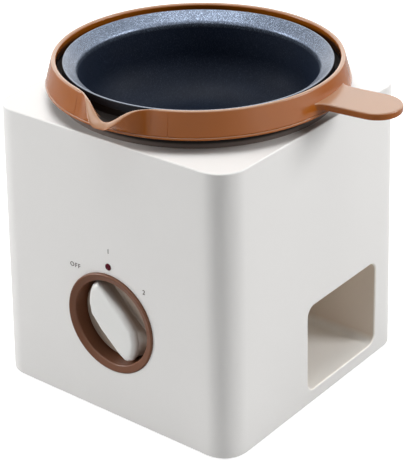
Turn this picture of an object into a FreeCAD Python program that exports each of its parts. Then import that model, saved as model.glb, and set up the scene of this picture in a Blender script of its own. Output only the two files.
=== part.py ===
import FreeCAD, Part
import math
import os
import re

import Sketcher
from FreeCAD import Placement, Rotation, Vector

# Chocolate melting pot. The origin is the middle of the footprint, level with the soles of the
# feet. X points to the right, Y to the back and Z up. The control panel faces -Y.

SIZES = [
    ("foot_gap", 1.5, "soles of the feet to the housing's lower edge"),
    ("body_width", 150, "housing across its top, both ways"),
    ("base_flare", 2.84, "how much further out each side stands at the bottom"),
    ("body_height", 155.9, "housing, lower edge to top face"),
    ("corner_radius", 14.6, "upright corners of the housing"),
    ("wall", 3, "side walls of the housing"),
    ("top_wall", 3, "top wall of the housing"),
    ("collar_turn", 6.8, "degrees that the collar is turned on its seat"),
    ("collar_rim_radius", 74.9, "collar outside, at its rim"),
    ("collar_foot_radius", 78, "collar outside, at its lower edge"),
    ("collar_wall", 2.7, "collar wall"),
    ("collar_height", 12.8, "collar, lower edge to rim"),
    ("collar_gap", 7.1, "housing's top face to the collar's lower edge"),
    ("web_rise", 1, "collar's lower edge to the underside of its web"),
    ("web_thickness", 2.5, "web that rests on the seat ring"),
    ("rib_height", 4, "rib that carries the pot"),
    ("rib_width", 2, "rib that carries the pot"),
    ("skirt_depth", 3, "centring skirt below the web"),
    ("skirt_thickness", 1.2, "centring skirt below the web"),
    ("spout_half_angle", 20, "degrees from the spout's middle to each of its seams"),
    ("nose_rim_reach", 96, "spout's tip at rim height, before the lip is cut down"),
    ("nose_rim_half", 6, "half width of the spout's tip at rim height"),
    ("nose_foot_half", 9, "half width of the spout's tip at the lower edge"),
    ("lip_drop", 7.8, "rim to the lowest point of the spout's lip"),
    ("lip_half", 5.5, "half width of the lip's floor"),
    ("lip_mouth_half", 14, "half width of the lip at the rim"),
    ("handle_reach", 113, "handle's tip from the collar's middle"),
    ("handle_width", 26, "handle"),
    ("handle_flare", 7, "how much wider the handle's root is, each side"),
    ("handle_thickness", 3, "handle"),
    ("handle_drop", 6, "collar's rim to the handle's upper face"),
    ("pot_drop", 1.3, "collar's rim to the pot's rim"),
    ("pot_rim_radius", 69.3, "pot outside, at its rim"),
    ("pot_lip", 1, "flat top of the pot's rim"),
    ("throat_radius", 62.5, "pot inside, below its sloped rim"),
    ("throat_drop", 6.5, "depth of the pot's sloped rim"),
    ("pot_floor_radius", 59.5, "pot inside, at its floor, before the curve"),
    ("pot_curve", 24, "curve between the pot's wall and floor, inside"),
    ("pot_depth", 44.5, "pot, rim to floor"),
    ("pot_wall", 1.8, "pot's side wall"),
    ("pot_base", 2.5, "pot's floor"),
    ("ledge_step", 2.2, "pot's ledge beyond its side wall"),
    ("seat_radius", 71, "seat ring above the housing"),
    ("seat_bore", 67, "seat ring inside"),
    ("spigot_radius", 69.4, "seat ring where it passes through the housing"),
    ("snap_bead", 0.8, "bead that holds the seat ring below the top wall"),
    ("fit", 0.2, "clearance of parts that are pushed together"),
    ("running_fit", 0.05, "clearance of the turning shaft"),
    ("deck_depth", 11.4, "housing's top face to the heating well's flange"),
    ("gasket", 1, "gasket between the well's flange and the seat ring"),
    ("sheet", 0.8, "sheet metal of the heating well"),
    ("well_radius", 65.4, "heating well inside"),
    ("deck_width", 142, "square flange of the heating well"),
    ("deck_hole", 112, "spacing of the screws that hold the well"),
    ("boss_radius", 5, "bosses for the screws that hold the well"),
    ("floor_opening", 50, "radius of the opening in the well's floor"),
    ("plate_radius", 56, "heating plate"),
    ("plate_flange", 4, "heating plate above the well's floor"),
    ("plate_boss_radius", 48, "heating plate below the well's floor"),
    ("plate_boss", 6, "depth of the heating plate below the flange"),
    ("element_ring", 36, "heating element's ring"),
    ("element_tube", 3.2, "radius of the heating element's tube"),
    ("element_gap", 40, "degrees left open between the element's ends"),
    ("element_leg", 19, "element's ends below the plate"),
    ("shield_radius", 60, "heat shield"),
    ("shield_sheet", 1, "heat shield"),
    ("shield_gap", 19.2, "well's floor to the heat shield"),
    ("shield_hole", 16, "opening in the heat shield for the leads"),
    ("leg_gap", 2, "heat shield around the element's ends"),
    ("stay_circle", 53, "circle of the screws that hold the shield"),
    ("spacer_radius", 3.2, "spacers between shield and well"),
    ("screw_radius", 1.5, "small screws"),
    ("screw_head", 2.8, "radius of the small screws' heads"),
    ("head_height", 2, "small screws' heads"),
    ("screw_bite", 6, "length of a small screw in its boss"),
    ("thermostat_radius", 8.5, "thermostat"),
    ("thermostat_height", 7, "thermostat"),
    ("thermostat_ear", 11.6, "thermostat's screws from its middle"),
    ("ear_width", 7, "ears of the thermostat"),
    ("ear_sheet", 1.2, "ears of the thermostat"),
    ("blade_length", 5.5, "terminal blades"),
    ("blade_width", 4.8, "terminal blades"),
    ("blade_thickness", 0.8, "terminal blades"),
    ("fuse_radius", 2.2, "thermal fuse"),
    ("fuse_length", 14, "thermal fuse"),
    ("fuse_y", 22, "thermal fuse behind the plate's middle"),
    ("clip_width", 6, "clip of the thermal fuse"),
    ("clip_screw", 3, "fuse's side to the clip's screw"),
    ("clip_sheet", 1, "clip below the thermal fuse"),
    ("plate_sheet", 2.5, "base plate"),
    ("plate_recess", 1.5, "housing's lower edge to the base plate's underside"),
    ("vent_length", 36, "vent slots in the base plate"),
    ("vent_width", 4, "vent slots in the base plate"),
    ("vent_pitch", 12, "vent slots in the base plate"),
    ("vent_y", -44, "middle of the vent slots"),
    ("post_reach", 62, "middle of the housing to the inner faces of its corner posts"),
    ("post_height", 20, "corner posts"),
    ("post_hole", 67.5, "base screws from the middle, both ways"),
    ("foot_spread", 54, "feet from the middle, both ways"),
    ("foot_radius", 7, "feet"),
    ("stud_radius", 2, "stud that holds each foot in the base plate"),
    ("pocket_front", -9.8, "storage opening, front edge"),
    ("pocket_back", 53.3, "storage opening, back edge"),
    ("pocket_low", 9, "storage opening, lower edge above the table"),
    ("pocket_high", 60, "storage opening, upper edge above the table"),
    ("pocket_corner", 5.5, "storage opening's corners"),
    ("pocket_wall", 2, "liner of the storage pocket"),
    ("pocket_end", -45, "storage pocket's inner end"),
    ("pocket_face", 73.2, "flat face inside the right wall that the liner is screwed to"),
    ("pocket_flange", 7.5, "liner's flange around the opening"),
    ("pocket_screw_inset", 5, "liner's screws from the opening"),
    ("pocket_screw_low", 18, "liner's lower screws above the table"),
    ("pocket_screw_high", 50, "liner's upper screws above the table"),
    ("pocket_screw_head", 2.2, "radius of the liner's screw heads"),
    ("pocket_bite", 2.6, "length of the liner's screws in the wall"),
    ("knob_x", 1.5, "knob's axis from the middle"),
    ("knob_rise", 54.5, "knob's axis above the housing's lower edge"),
    ("bezel_face", -78.1, "front plane of the bezel"),
    ("bezel_radius", 28.35, "bezel outside"),
    ("bezel_lip", 2.1, "thickness of the bezel's rim"),
    ("dish_radius", 23.4, "bezel's dish at its front"),
    ("dish_end_radius", 22.8, "bezel's dish at its back"),
    ("dish_depth", 16, "bezel's dish"),
    ("dish_floor", 2, "floor of the bezel's dish"),
    ("cup_radius", 25.4, "bezel behind the housing's wall"),
    ("bezel_round", 0.8, "rounded edges of the bezel"),
    ("panel_face", -71.5, "flat face behind the panel for the ring nut"),
    ("panel_pad_radius", 31, "thickened panel around the bezel"),
    ("ring_nut_radius", 28, "ring nut"),
    ("ring_nut_height", 3, "ring nut"),
    ("knob_radius", 22.3, "knob"),
    ("knob_sink", 8.5, "bezel's front plane to the knob's disc"),
    ("knob_disc", 2.5, "knob's disc"),
    ("knob_skirt", 5.5, "knob's skirt, from the face of its disc"),
    ("knob_wall", 2, "knob's skirt"),
    ("hub_radius", 5.5, "knob's hub"),
    ("hub_length", 4.3, "knob's hub, from the face of its disc"),
    ("grip_tip_x", 5.9, "grip's tip across its axis"),
    ("grip_tip_z", 21.2, "grip's tip along its axis"),
    ("grip_belly_x", 10.7, "grip's widest point across its axis"),
    ("grip_belly_z", 3, "grip's widest point along its axis"),
    ("grip_curve", 17.5, "radius of the grip's curved side"),
    ("off_angle", 41, "degrees from upright to the knob's OFF place"),
    ("shaft_radius", 3, "switch shaft"),
    ("shaft_front", 3.5, "bezel's front plane to the shaft's end"),
    ("shaft_inside", 11.5, "shaft inside the switch"),
    ("bushing_radius", 4.5, "switch bushing"),
    ("bushing_length", 4.6, "switch bushing"),
    ("switch_width", 28, "switch body, square"),
    ("switch_depth", 20, "switch body"),
    ("switch_blade_gap", 8, "spacing of the switch's blades"),
    ("nut_radius", 6.9, "switch nut across its corners, halved"),
    ("nut_height", 2.2, "switch nut"),
    ("lens_x", 1.1, "indicator from the middle"),
    ("lens_rise", 86.8, "indicator above the housing's lower edge"),
    ("lens_radius", 1.9, "indicator lens"),
    ("lens_face", -76.75, "front of the indicator lens"),
    ("lens_back", -72, "back of the indicator lens"),
    ("lens_flange", 3, "radius of the lens's flange"),
    ("lens_edge", 0.4, "bevelled edge of the lens"),
    ("lens_flange_height", 1, "lens's flange"),
    ("lamp_radius", 2.2, "indicator lamp"),
    ("lamp_length", 10, "indicator lamp"),
    ("holder_radius", 3.9, "lamp holder"),
    ("holder_back", -64, "back of the lamp holder"),
    ("lamp_boss_radius", 6, "boss around the lamp holder"),
    ("lamp_boss_back", -71.5, "back of the boss around the lamp holder"),
    ("block_x", -70, "terminal block's left side"),
    ("block_y", 20, "terminal block's front"),
    ("block_width", 20, "terminal block"),
    ("block_length", 26, "terminal block"),
    ("block_height", 14, "terminal block"),
    ("gland_x", -46, "cord gland from the middle"),
    ("gland_rise", 20.5, "cord gland above the housing's lower edge"),
    ("gland_seat", 77, "flat spot on the rear wall under the gland's flange"),
    ("gland_flange_radius", 9, "gland's flange"),
    ("gland_flange", 2.5, "gland's flange"),
    ("gland_body_radius", 6, "gland where it passes through the wall"),
    ("gland_inside", 11, "gland's length from its seat inwards"),
    ("gland_bore", 3.6, "gland's bore"),
    ("gland_pad", 73.5, "flat face inside the rear wall for the gland's nut"),
    ("gland_nut_radius", 10, "gland's nut across its corners, halved"),
    ("gland_nut_height", 3, "gland's nut"),
    ("lead_radius", 1.1, "internal leads"),
]

doc = FreeCAD.newDocument("MeltingPot")
sheet = doc.addObject("Spreadsheet::Sheet", "Sizes")
for row, (alias, size, note) in enumerate(SIZES, 1):
    sheet.set(f"A{row}", note)
    sheet.set(f"B{row}", str(size))
    sheet.setAlias(f"B{row}", alias)
doc.recompute()
aliases = {alias for alias, size, note in SIZES}

# Levels and places that several pieces share, as expressions of the sheet's names.
TOP = "(foot_gap + body_height)"
CEILING = f"({TOP} - top_wall)"
COLLAR_FOOT = f"({TOP} + collar_gap)"
RIM = f"({COLLAR_FOOT} + collar_height)"
WEB_LOW = f"({COLLAR_FOOT} + web_rise)"
WEB_HIGH = f"({WEB_LOW} + web_thickness)"
POT_SEAT = f"({WEB_HIGH} + rib_height)"
POT_RIM = f"({RIM} - pot_drop)"
POT_FLOOR = f"({POT_RIM} - pot_depth)"
POT_UNDER = f"({POT_FLOOR} - pot_base)"
DECK = f"({TOP} - deck_depth)"
DECK_UNDER = f"({DECK} - sheet)"
WELL_FLOOR = f"({POT_UNDER} - plate_flange)"
WELL_UNDER = f"({WELL_FLOOR} - sheet)"
PLATE_UNDER = f"({WELL_FLOOR} - plate_boss)"
SHIELD = f"({WELL_UNDER} - shield_gap)"
SHIELD_UNDER = f"({SHIELD} - shield_sheet)"
BASE_LOW = "(foot_gap + plate_recess)"
BASE_HIGH = f"({BASE_LOW} + plate_sheet)"
KNOB_Z = "(foot_gap + knob_rise)"
LENS_Z = "(foot_gap + lens_rise)"
GLAND_Z = "(foot_gap + gland_rise)"
DISC = "(bezel_face + knob_sink)"
CUP_END = "(bezel_face + dish_depth + dish_floor)"
SWITCH_BACK = f"({CUP_END} + switch_depth)"
BODY_BOTTOM = "(body_width / 2 + base_flare)"
FUSE_Z = f"({PLATE_UNDER} - fuse_radius)"
CLIP_SCREW_Y = "(fuse_y + fuse_radius + clip_screw)"
pieces = []


def tied(expression):
    """Writes each name of the sheet in an expression as a reference to its cell."""
    def refer(word):
        return f"Sizes.{word[0]}" if word[0] in aliases else word[0]
    return re.sub(r"[a-z][a-z_0-9]*", refer, expression)


def value(expression):
    """Works an expression of the sheet's names out, for a first drawing."""
    return float(sheet.evalExpression(tied(expression)))


def bind(item, **properties):
    """Ties properties of an object to expressions of the sheet's names."""
    for name, expression in properties.items():
        item.setExpression(name, tied(expression))
    return item


def place(item, x="0", y="0", z="0", turn=None):
    """Ties an object's place to the sheet and turns it, where it is turned."""
    if turn is not None:
        item.Placement = Placement(Vector(), turn)
    for axis, expression in zip("xyz", (x, y, z)):
        item.setExpression(f"Placement.Base.{axis}", tied(expression))
    return item


def keep(item, label):
    """Names a finished sub-part and lists it for writing."""
    item.Label = label
    pieces.append(item)
    return item


TO_BACK = Rotation(Vector(1, 0, 0), -90)
TO_RIGHT = Rotation(Vector(0, 1, 0), 90)


def cylinder(radius, height, x="0", y="0", z="0", turn=None):
    """A round bar from its lower end, standing up or turned."""
    bar = doc.addObject("Part::Cylinder", "Bar")
    return place(bind(bar, Radius=radius, Height=height), x, y, z, turn)


def block(length, width, height, x, y, z):
    """A box from its lowest corner."""
    box = doc.addObject("Part::Box", "Block")
    return place(bind(box, Length=length, Width=width, Height=height), x, y, z)


def hexagon(radius, height, x, y, z, turn):
    """A six-sided bar from its lower end."""
    bar = doc.addObject("Part::Prism", "Hexagon")
    bar.Polygon = 6
    return place(bind(bar, Circumradius=radius, Height=height), x, y, z, turn)


def fused(items, name="Joined"):
    """Several solids as one, or as a group where they are apart."""
    group = doc.addObject("Part::MultiFuse", name)
    group.Shapes = items
    return group


def cut(base, tools, name="Cut"):
    """A solid less one or several others."""
    result = doc.addObject("Part::Cut", name)
    result.Base = base
    result.Tool = tools[0] if len(tools) == 1 else fused(tools)
    return result


def body(name):
    """An empty body."""
    return doc.addObject("PartDesign::Body", name)


def sketch_on(owner, plane_role, name, offset="0"):
    """An empty sketch on one of the body's own origin planes, moved along the plane's normal."""
    sketch = owner.newObject("Sketcher::SketchObject", name)
    plane = next(item for item in owner.Origin.OriginFeatures if item.Role == plane_role)
    sketch.AttachmentSupport = [(plane, "")]
    sketch.MapMode = "FlatFace"
    sketch.setExpression("AttachmentOffset.Base.z", tied(offset))
    return sketch


def fix(sketch, kind, *where):
    """Adds a constraint whose last entry is an expression, and ties it to the sheet."""
    number = sketch.addConstraint(Sketcher.Constraint(kind, *where[:-1], value(where[-1])))
    sketch.setExpression(f"Constraints[{number}]", tied(where[-1]))


def fix_point(sketch, edge, end, point):
    """Ties an edge's end to a pair of expressions."""
    fix(sketch, "DistanceX", -1, 1, edge, end, point[0])
    fix(sketch, "DistanceY", -1, 1, edge, end, point[1])


def at(point):
    """A pair of expressions as a place on the sketch."""
    return Vector(value(point[0]), value(point[1]), 0)


def polygon(sketch, points):
    """A closed outline of straight runs through tied corners."""
    for here, there in zip(points, points[1:] + points[:1]):
        sketch.addGeometry(Part.LineSegment(at(here), at(there)), False)
    for edge, point in enumerate(points):
        sketch.addConstraint(Sketcher.Constraint("Coincident", edge, 2, (edge + 1) % len(points), 1))
        fix_point(sketch, edge, 1, point)


def rectangle(sketch, low, high):
    """A closed outline of four runs from two tied corners."""
    polygon(sketch, [low, (high[0], low[1]), high, (low[0], high[1])])


def rounded_rectangle(sketch, low, high, radius):
    """A closed outline of four runs and four quarter turns between two tied corners."""
    left, right = f"({low[0]} + {radius})", f"({high[0]} - {radius})"
    front, back = f"({low[1]} + {radius})", f"({high[1]} - {radius})"
    runs = [((left, low[1]), (right, low[1])), ((high[0], front), (high[0], back)),
            ((right, high[1]), (left, high[1])), ((low[0], back), (low[0], front))]
    centres = [(right, front), (right, back), (left, back), (left, front)]
    for start, end in runs:
        sketch.addGeometry(Part.LineSegment(at(start), at(end)), False)
    for corner, centre in enumerate(centres):
        circle = Part.Circle(at(centre), Vector(0, 0, 1), value(radius))
        first = (corner - 1) * math.pi / 2
        sketch.addGeometry(Part.ArcOfCircle(circle, first, first + math.pi / 2), False)
    for edge, (start, end) in enumerate(runs):
        fix_point(sketch, edge, 1, start)
        fix_point(sketch, edge, 2, end)
        sketch.addConstraint(Sketcher.Constraint("Coincident", edge + 4, 1, edge, 2))
        sketch.addConstraint(Sketcher.Constraint("Coincident", edge + 4, 2, (edge + 1) % 4, 1))
        fix(sketch, "Radius", edge + 4, radius)


def revolve(owner, points, name, plane_role="XZ_Plane"):
    """A solid turned about the sketch's upright axis."""
    sketch = sketch_on(owner, plane_role, name + "Profile")
    polygon(sketch, points)
    turned = owner.newObject("PartDesign::Revolution", name)
    turned.Profile = sketch
    turned.ReferenceAxis = (sketch, ["V_Axis"])
    turned.Angle = 360
    return turned


def round_edges(owner, feature, radius, wanted, name):
    """Rounds the edges of a feature that a test picks out."""
    doc.recompute()
    names = [f"Edge{number}" for number, edge in enumerate(feature.Shape.Edges, 1) if wanted(edge)]
    fillet = owner.newObject("PartDesign::Fillet", name)
    fillet.Base = (feature, names)
    return bind(fillet, Radius=radius)


def ring_at(level, axis):
    """A test for round edges at one place along an axis."""
    def wanted(edge):
        closed = len(edge.Vertexes) == 1
        return closed and abs(getattr(edge.CenterOfMass, axis) - value(level)) < 0.01
    return wanted


def drafted_box(name, low, high, half_low, half_high, radius):
    """A square block between two levels, with its upright corners rounded."""
    owner = body(name)
    sections = []
    for level, half in ((low, half_low), (high, half_high)):
        sketch = sketch_on(owner, "XY_Plane", f"{name}Section{len(sections)}", level)
        rounded_rectangle(sketch, (f"-{half}", f"-{half}"), (half, half), f"({radius})")
        sections.append(sketch)
    loft = owner.newObject("PartDesign::AdditiveLoft", name + "Loft")
    loft.Profile = sections[0]
    loft.Sections = [sections[1]]
    loft.Ruled = True
    return owner


def inner_half(level):
    """Half the housing's inner width at a level."""
    return f"({BODY_BOTTOM} - wall - base_flare * ({level} - foot_gap) / body_height)"


def four(spacing):
    """The four places that mirror each other about the middle."""
    return [(f"{right} * {spacing}", f"{back} * {spacing}") for right in ("-1", "1") for back in ("-1", "1")]


def screw(length, x, y, z, turn=None, head="screw_head"):
    """A small screw whose head ends at the given place and whose shank goes on from there."""
    shank = cylinder("screw_radius", length, x, y, z, turn)
    if turn is None:
        cap = cylinder(head, "head_height", x, y, f"{z} - head_height")
    else:
        cap = cylinder(head, "head_height", f"{x} - head_height", y, z, turn)
    return fused([shank, cap], "Screw")


# The opening of the storage pocket, which the housing and the liner share.
pocket_void = body("PocketVoid")
void_sketch = sketch_on(pocket_void, "YZ_Plane", "PocketVoidSection", "pocket_end")
rounded_rectangle(void_sketch, ("pocket_front", "pocket_low"), ("pocket_back", "pocket_high"),
                  "pocket_corner")
void_pad = pocket_void.newObject("PartDesign::Pad", "PocketVoidPad")
void_pad.Profile = void_sketch
bind(void_pad, Length=f"{BODY_BOTTOM} - pocket_end + wall")


def make_housing():
    """The moulded shell, open at the bottom, with its posts, pads, bosses and openings."""
    outside = drafted_box("ShellOutside", "foot_gap", TOP, BODY_BOTTOM, "body_width / 2", "corner_radius")
    inside = drafted_box("ShellInside", "foot_gap", CEILING, inner_half("foot_gap"), inner_half(CEILING),
                         "corner_radius - wall")
    post_size = f"{BODY_BOTTOM} - post_reach"
    filled = []
    for x, y in (("post_reach", "post_reach"), (f"-{BODY_BOTTOM}", "post_reach"),
                 ("post_reach", f"-{BODY_BOTTOM}"), (f"-{BODY_BOTTOM}", f"-{BODY_BOTTOM}")):
        filled.append(block(post_size, post_size, "post_height", x, y, BASE_HIGH))
    filled.append(block("wall * 3", "pocket_back - pocket_front + 2 * pocket_flange",
                        "pocket_high - pocket_low + pocket_flange + pocket_wall", "pocket_face",
                        "pocket_front - pocket_flange", "pocket_low - pocket_wall"))
    filled.append(cylinder("panel_pad_radius", f"{BODY_BOTTOM} + panel_face", "knob_x", f"-{BODY_BOTTOM}",
                           KNOB_Z, TO_BACK))
    filled.append(cylinder("lamp_boss_radius", f"{BODY_BOTTOM} + lamp_boss_back", "lens_x",
                           f"-{BODY_BOTTOM}", LENS_Z, TO_BACK))
    filled.append(cylinder("gland_nut_radius + 1", f"{BODY_BOTTOM} - gland_pad", "gland_x", "gland_pad",
                           GLAND_Z, TO_BACK))
    shell = cut(outside, [cut(inside, filled, "Cavity")], "Shell")
    bosses = [cylinder("boss_radius", f"{CEILING} - {DECK}", x, y, DECK) for x, y in four("deck_hole / 2")]
    tools = [cylinder("screw_radius", "screw_bite + 0.5", x, y, DECK) for x, y in four("deck_hole / 2")]
    tools += [cylinder("screw_radius", "screw_bite + 1", x, y, BASE_HIGH) for x, y in four("post_hole")]
    tools.append(cylinder("spigot_radius + fit", "2 * top_wall", "0", "0", f"{TOP} - 1.5 * top_wall"))
    tools.append(cylinder("bezel_radius + fit / 2", "3 * wall", "knob_x",
                          "bezel_face + bezel_lip - 3 * wall", KNOB_Z, TO_BACK))
    tools.append(cylinder("cup_radius + fit", "4 * wall", "knob_x", "bezel_face", KNOB_Z, TO_BACK))
    tools.append(cylinder("lens_radius + running_fit", "3 * wall", "lens_x", "lens_face - wall",
                          LENS_Z, TO_BACK))
    tools.append(cylinder("holder_radius + running_fit", "2 * wall", "lens_x",
                          "lens_back - lens_flange_height", LENS_Z, TO_BACK))
    tools.append(cylinder("gland_body_radius + running_fit", "4 * wall", "gland_x", "gland_pad - wall",
                          GLAND_Z, TO_BACK))
    tools.append(cylinder("gland_flange_radius + fit", "2 * wall", "gland_x", "gland_seat", GLAND_Z,
                          TO_BACK))
    tools += [cylinder("screw_radius", "pocket_bite", "pocket_face", y, z, TO_RIGHT)
              for y, z in pocket_screw_places()]
    tools.append(pocket_void)
    return cut(fused([shell] + bosses, "ShellWithBosses"), tools, "Housing")


def pocket_screw_places():
    """The four places of the liner's screws, as Y and Z."""
    return [(y, z) for y in ("pocket_front - pocket_screw_inset", "pocket_back + pocket_screw_inset")
            for z in ("pocket_screw_low", "pocket_screw_high")]


def make_base_plate():
    """The flat plate that closes the bottom, with vents, screw holes and holes for the feet."""
    half = f"({inner_half(BASE_HIGH)} - fit)"
    flat = drafted_box("BasePlateBlank", BASE_LOW, BASE_HIGH, half, half, "corner_radius - wall")
    below = f"{BASE_LOW} - plate_sheet"
    deep = "3 * plate_sheet"
    tools = [cylinder("screw_radius + fit", deep, x, y, below) for x, y in four("post_hole")]
    tools += [cylinder("stud_radius", deep, x, y, below) for x, y in four("foot_spread")]
    for slot in range(-3, 4):
        tools.append(block("vent_width", "vent_length", deep, f"{slot} * vent_pitch - vent_width / 2",
                           "vent_y - vent_length / 2", below))
    return cut(flat, tools, "BasePlate")


def make_feet():
    """Four round feet, each with a stud through the base plate."""
    feet = []
    for x, y in four("foot_spread"):
        pad = cylinder("foot_radius", BASE_LOW, x, y, "0")
        stud = cylinder("stud_radius", "plate_sheet", x, y, BASE_LOW)
        feet.append(fused([pad, stud], "Foot"))
    return fused(feet, "Feet")


def make_seat_ring():
    """The dark neck that carries the collar, snapped into the housing's opening."""
    owner = body("SeatRing")
    low = f"({DECK} + gasket)"
    revolve(owner, [("seat_bore", low), ("spigot_radius", low),
                    ("spigot_radius", f"{CEILING} - snap_bead - 1"),
                    ("spigot_radius + snap_bead", f"{CEILING} - snap_bead"),
                    ("spigot_radius + snap_bead", CEILING), ("spigot_radius", CEILING),
                    ("spigot_radius", TOP), ("seat_radius", TOP), ("seat_radius", WEB_LOW),
                    ("seat_bore", WEB_LOW)], "SeatRingTurned")
    return owner


def make_heating_well():
    """The pressed cup around the pot, with its square flange and the opening for the plate."""
    cup = body("WellCup")
    revolve(cup, [("well_radius", DECK), ("well_radius", WELL_FLOOR), ("floor_opening", WELL_FLOOR),
                  ("floor_opening", WELL_UNDER), ("well_radius + sheet", WELL_UNDER),
                  ("well_radius + sheet", DECK)], "WellCupTurned")
    half = "(deck_width / 2)"
    flange = drafted_box("WellFlange", DECK_UNDER, DECK, half, half, "corner_radius - wall")
    opening = cylinder("well_radius", "3 * sheet", "0", "0", f"{DECK_UNDER} - sheet")
    holes = [cylinder("screw_radius + fit", "3 * sheet", x, y, f"{DECK_UNDER} - sheet")
             for x, y in four("deck_hole / 2")]
    holes += [cylinder("screw_radius + fit", "3 * sheet", x, y, f"{WELL_UNDER} - sheet")
              for x, y in stay_places()]
    return cut(fused([cup, flange], "Well"), [opening] + holes, "HeatingWell")


def stay_places():
    """The three places of the screws that hold shield, well and plate together."""
    return [(f"stay_circle * cos({angle})", f"stay_circle * sin({angle})") for angle in (90, 210, 330)]


def make_heating_plate():
    """The cast plate under the pot, with a groove for the element below."""
    owner = body("PlateBody")
    revolve(owner, [("0", POT_UNDER), ("plate_radius", POT_UNDER), ("plate_radius", WELL_FLOOR),
                    ("plate_boss_radius", WELL_FLOOR), ("plate_boss_radius", PLATE_UNDER),
                    ("0", PLATE_UNDER)], "PlateTurned")
    groove = doc.addObject("Part::Torus", "Groove")
    place(bind(groove, Radius1="element_ring", Radius2="element_tube"), z=PLATE_UNDER)
    holes = [cylinder("screw_radius", "plate_flange - 0.8", x, y, WELL_FLOOR) for x, y in stay_places()]
    holes += [cylinder("screw_radius", "screw_bite - 2", x, "0", PLATE_UNDER)
              for x in ("-thermostat_ear", "thermostat_ear")]
    holes.append(cylinder("screw_radius", "screw_bite - 2", "0", CLIP_SCREW_Y, PLATE_UNDER))
    return cut(owner, [groove] + holes, "HeatingPlate")


def element_end(side):
    """One end of the element's ring, as X and Y."""
    return (f"-element_ring * cos(element_gap / 2)", f"{side} * element_ring * sin(element_gap / 2)")


def make_heating_element():
    """The tubular ring in the plate's groove, with both ends turned down."""
    ring = doc.addObject("Part::Torus", "ElementRing")
    bind(ring, Radius1="element_ring", Radius2="element_tube", Angle3="360 - element_gap")
    place(ring, z=PLATE_UNDER, turn=Rotation(Vector(0, 0, 1), -180))
    ring.setExpression("Placement.Rotation.Angle", tied("180 + element_gap / 2"))
    legs = []
    for side in ("-1", "1"):
        x, y = element_end(side)
        corner = doc.addObject("Part::Sphere", "Corner")
        legs.append(place(bind(corner, Radius="element_tube"), x, y, PLATE_UNDER))
        legs.append(cylinder("element_tube", "element_leg - blade_length", x, y,
                             f"{PLATE_UNDER} - element_leg + blade_length"))
        legs.append(cylinder("element_tube / 2", "element_leg", x, y, f"{PLATE_UNDER} - element_leg"))
    return fused([ring] + legs, "HeatingElement")


def make_heat_shield():
    """The disc that keeps the heat off the housing's lower part."""
    disc = cylinder("shield_radius", "shield_sheet", "0", "0", SHIELD_UNDER)
    holes = [cylinder("shield_hole", "3 * shield_sheet", "0", "0", f"{SHIELD_UNDER} - shield_sheet")]
    holes += [cylinder("screw_radius + fit", "3 * shield_sheet", x, y, f"{SHIELD_UNDER} - shield_sheet")
              for x, y in stay_places()]
    for side in ("-1", "1"):
        x, y = element_end(side)
        holes.append(cylinder("element_tube + leg_gap", "3 * shield_sheet", x, y,
                              f"{SHIELD_UNDER} - shield_sheet"))
    holes.append(block("3 * fuse_length", "3 * fuse_radius", "3 * shield_sheet", "-1.5 * fuse_length",
                       "fuse_y - 1.5 * fuse_radius", f"{SHIELD_UNDER} - shield_sheet"))
    return cut(disc, holes, "HeatShield")


def make_spacers():
    """Three tubes that hold the shield away from the well."""
    tubes = []
    for x, y in stay_places():
        outer = cylinder("spacer_radius", "shield_gap", x, y, SHIELD)
        tubes.append(cut(outer, [cylinder("screw_radius + fit", "shield_gap", x, y, SHIELD)], "Spacer"))
    return fused(tubes, "Spacers")


def make_thermostat():
    """The snap disc thermostat below the plate, with its ears and two blades."""
    can = cylinder("thermostat_radius", "thermostat_height", "0", "0", f"{PLATE_UNDER} - thermostat_height")
    ear_end = "(ear_width / 2)"
    ears = block("2 * thermostat_ear + ear_width", "ear_width", "ear_sheet", f"-thermostat_ear - {ear_end}",
                 f"-{ear_end}", f"{PLATE_UNDER} - ear_sheet")
    blades = [block("blade_thickness", "blade_width", "blade_length", f"{x} - blade_thickness / 2",
                    "-blade_width / 2", f"{PLATE_UNDER} - thermostat_height - blade_length")
              for x in ("-thermostat_radius / 2", "thermostat_radius / 2")]
    holes = [cylinder("screw_radius", "3 * ear_sheet", x, "0", f"{PLATE_UNDER} - 2 * ear_sheet")
             for x in ("-thermostat_ear", "thermostat_ear")]
    return cut(fused([can, ears] + blades, "ThermostatBody"), holes, "Thermostat")


def make_fuse_clip():
    """The saddle that holds the thermal fuse against the plate."""
    height = "(2 * fuse_radius + clip_sheet)"
    saddle = block("clip_width", "2 * fuse_radius + clip_sheet + 2 * clip_screw", height, "-clip_width / 2",
                   "fuse_y - fuse_radius - clip_sheet", f"{PLATE_UNDER} - {height}")
    bore = cylinder("fuse_radius", "clip_width", "-clip_width / 2", "fuse_y", FUSE_Z, TO_RIGHT)
    mouth = block("clip_width", "2 * fuse_radius", "2 * fuse_radius", "-clip_width / 2",
                  "fuse_y - fuse_radius", FUSE_Z)
    hole = cylinder("screw_radius", "4 * fuse_radius", "0", CLIP_SCREW_Y, f"{PLATE_UNDER} - 3 * fuse_radius")
    return cut(saddle, [bore, mouth, hole], "FuseClip")


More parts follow.
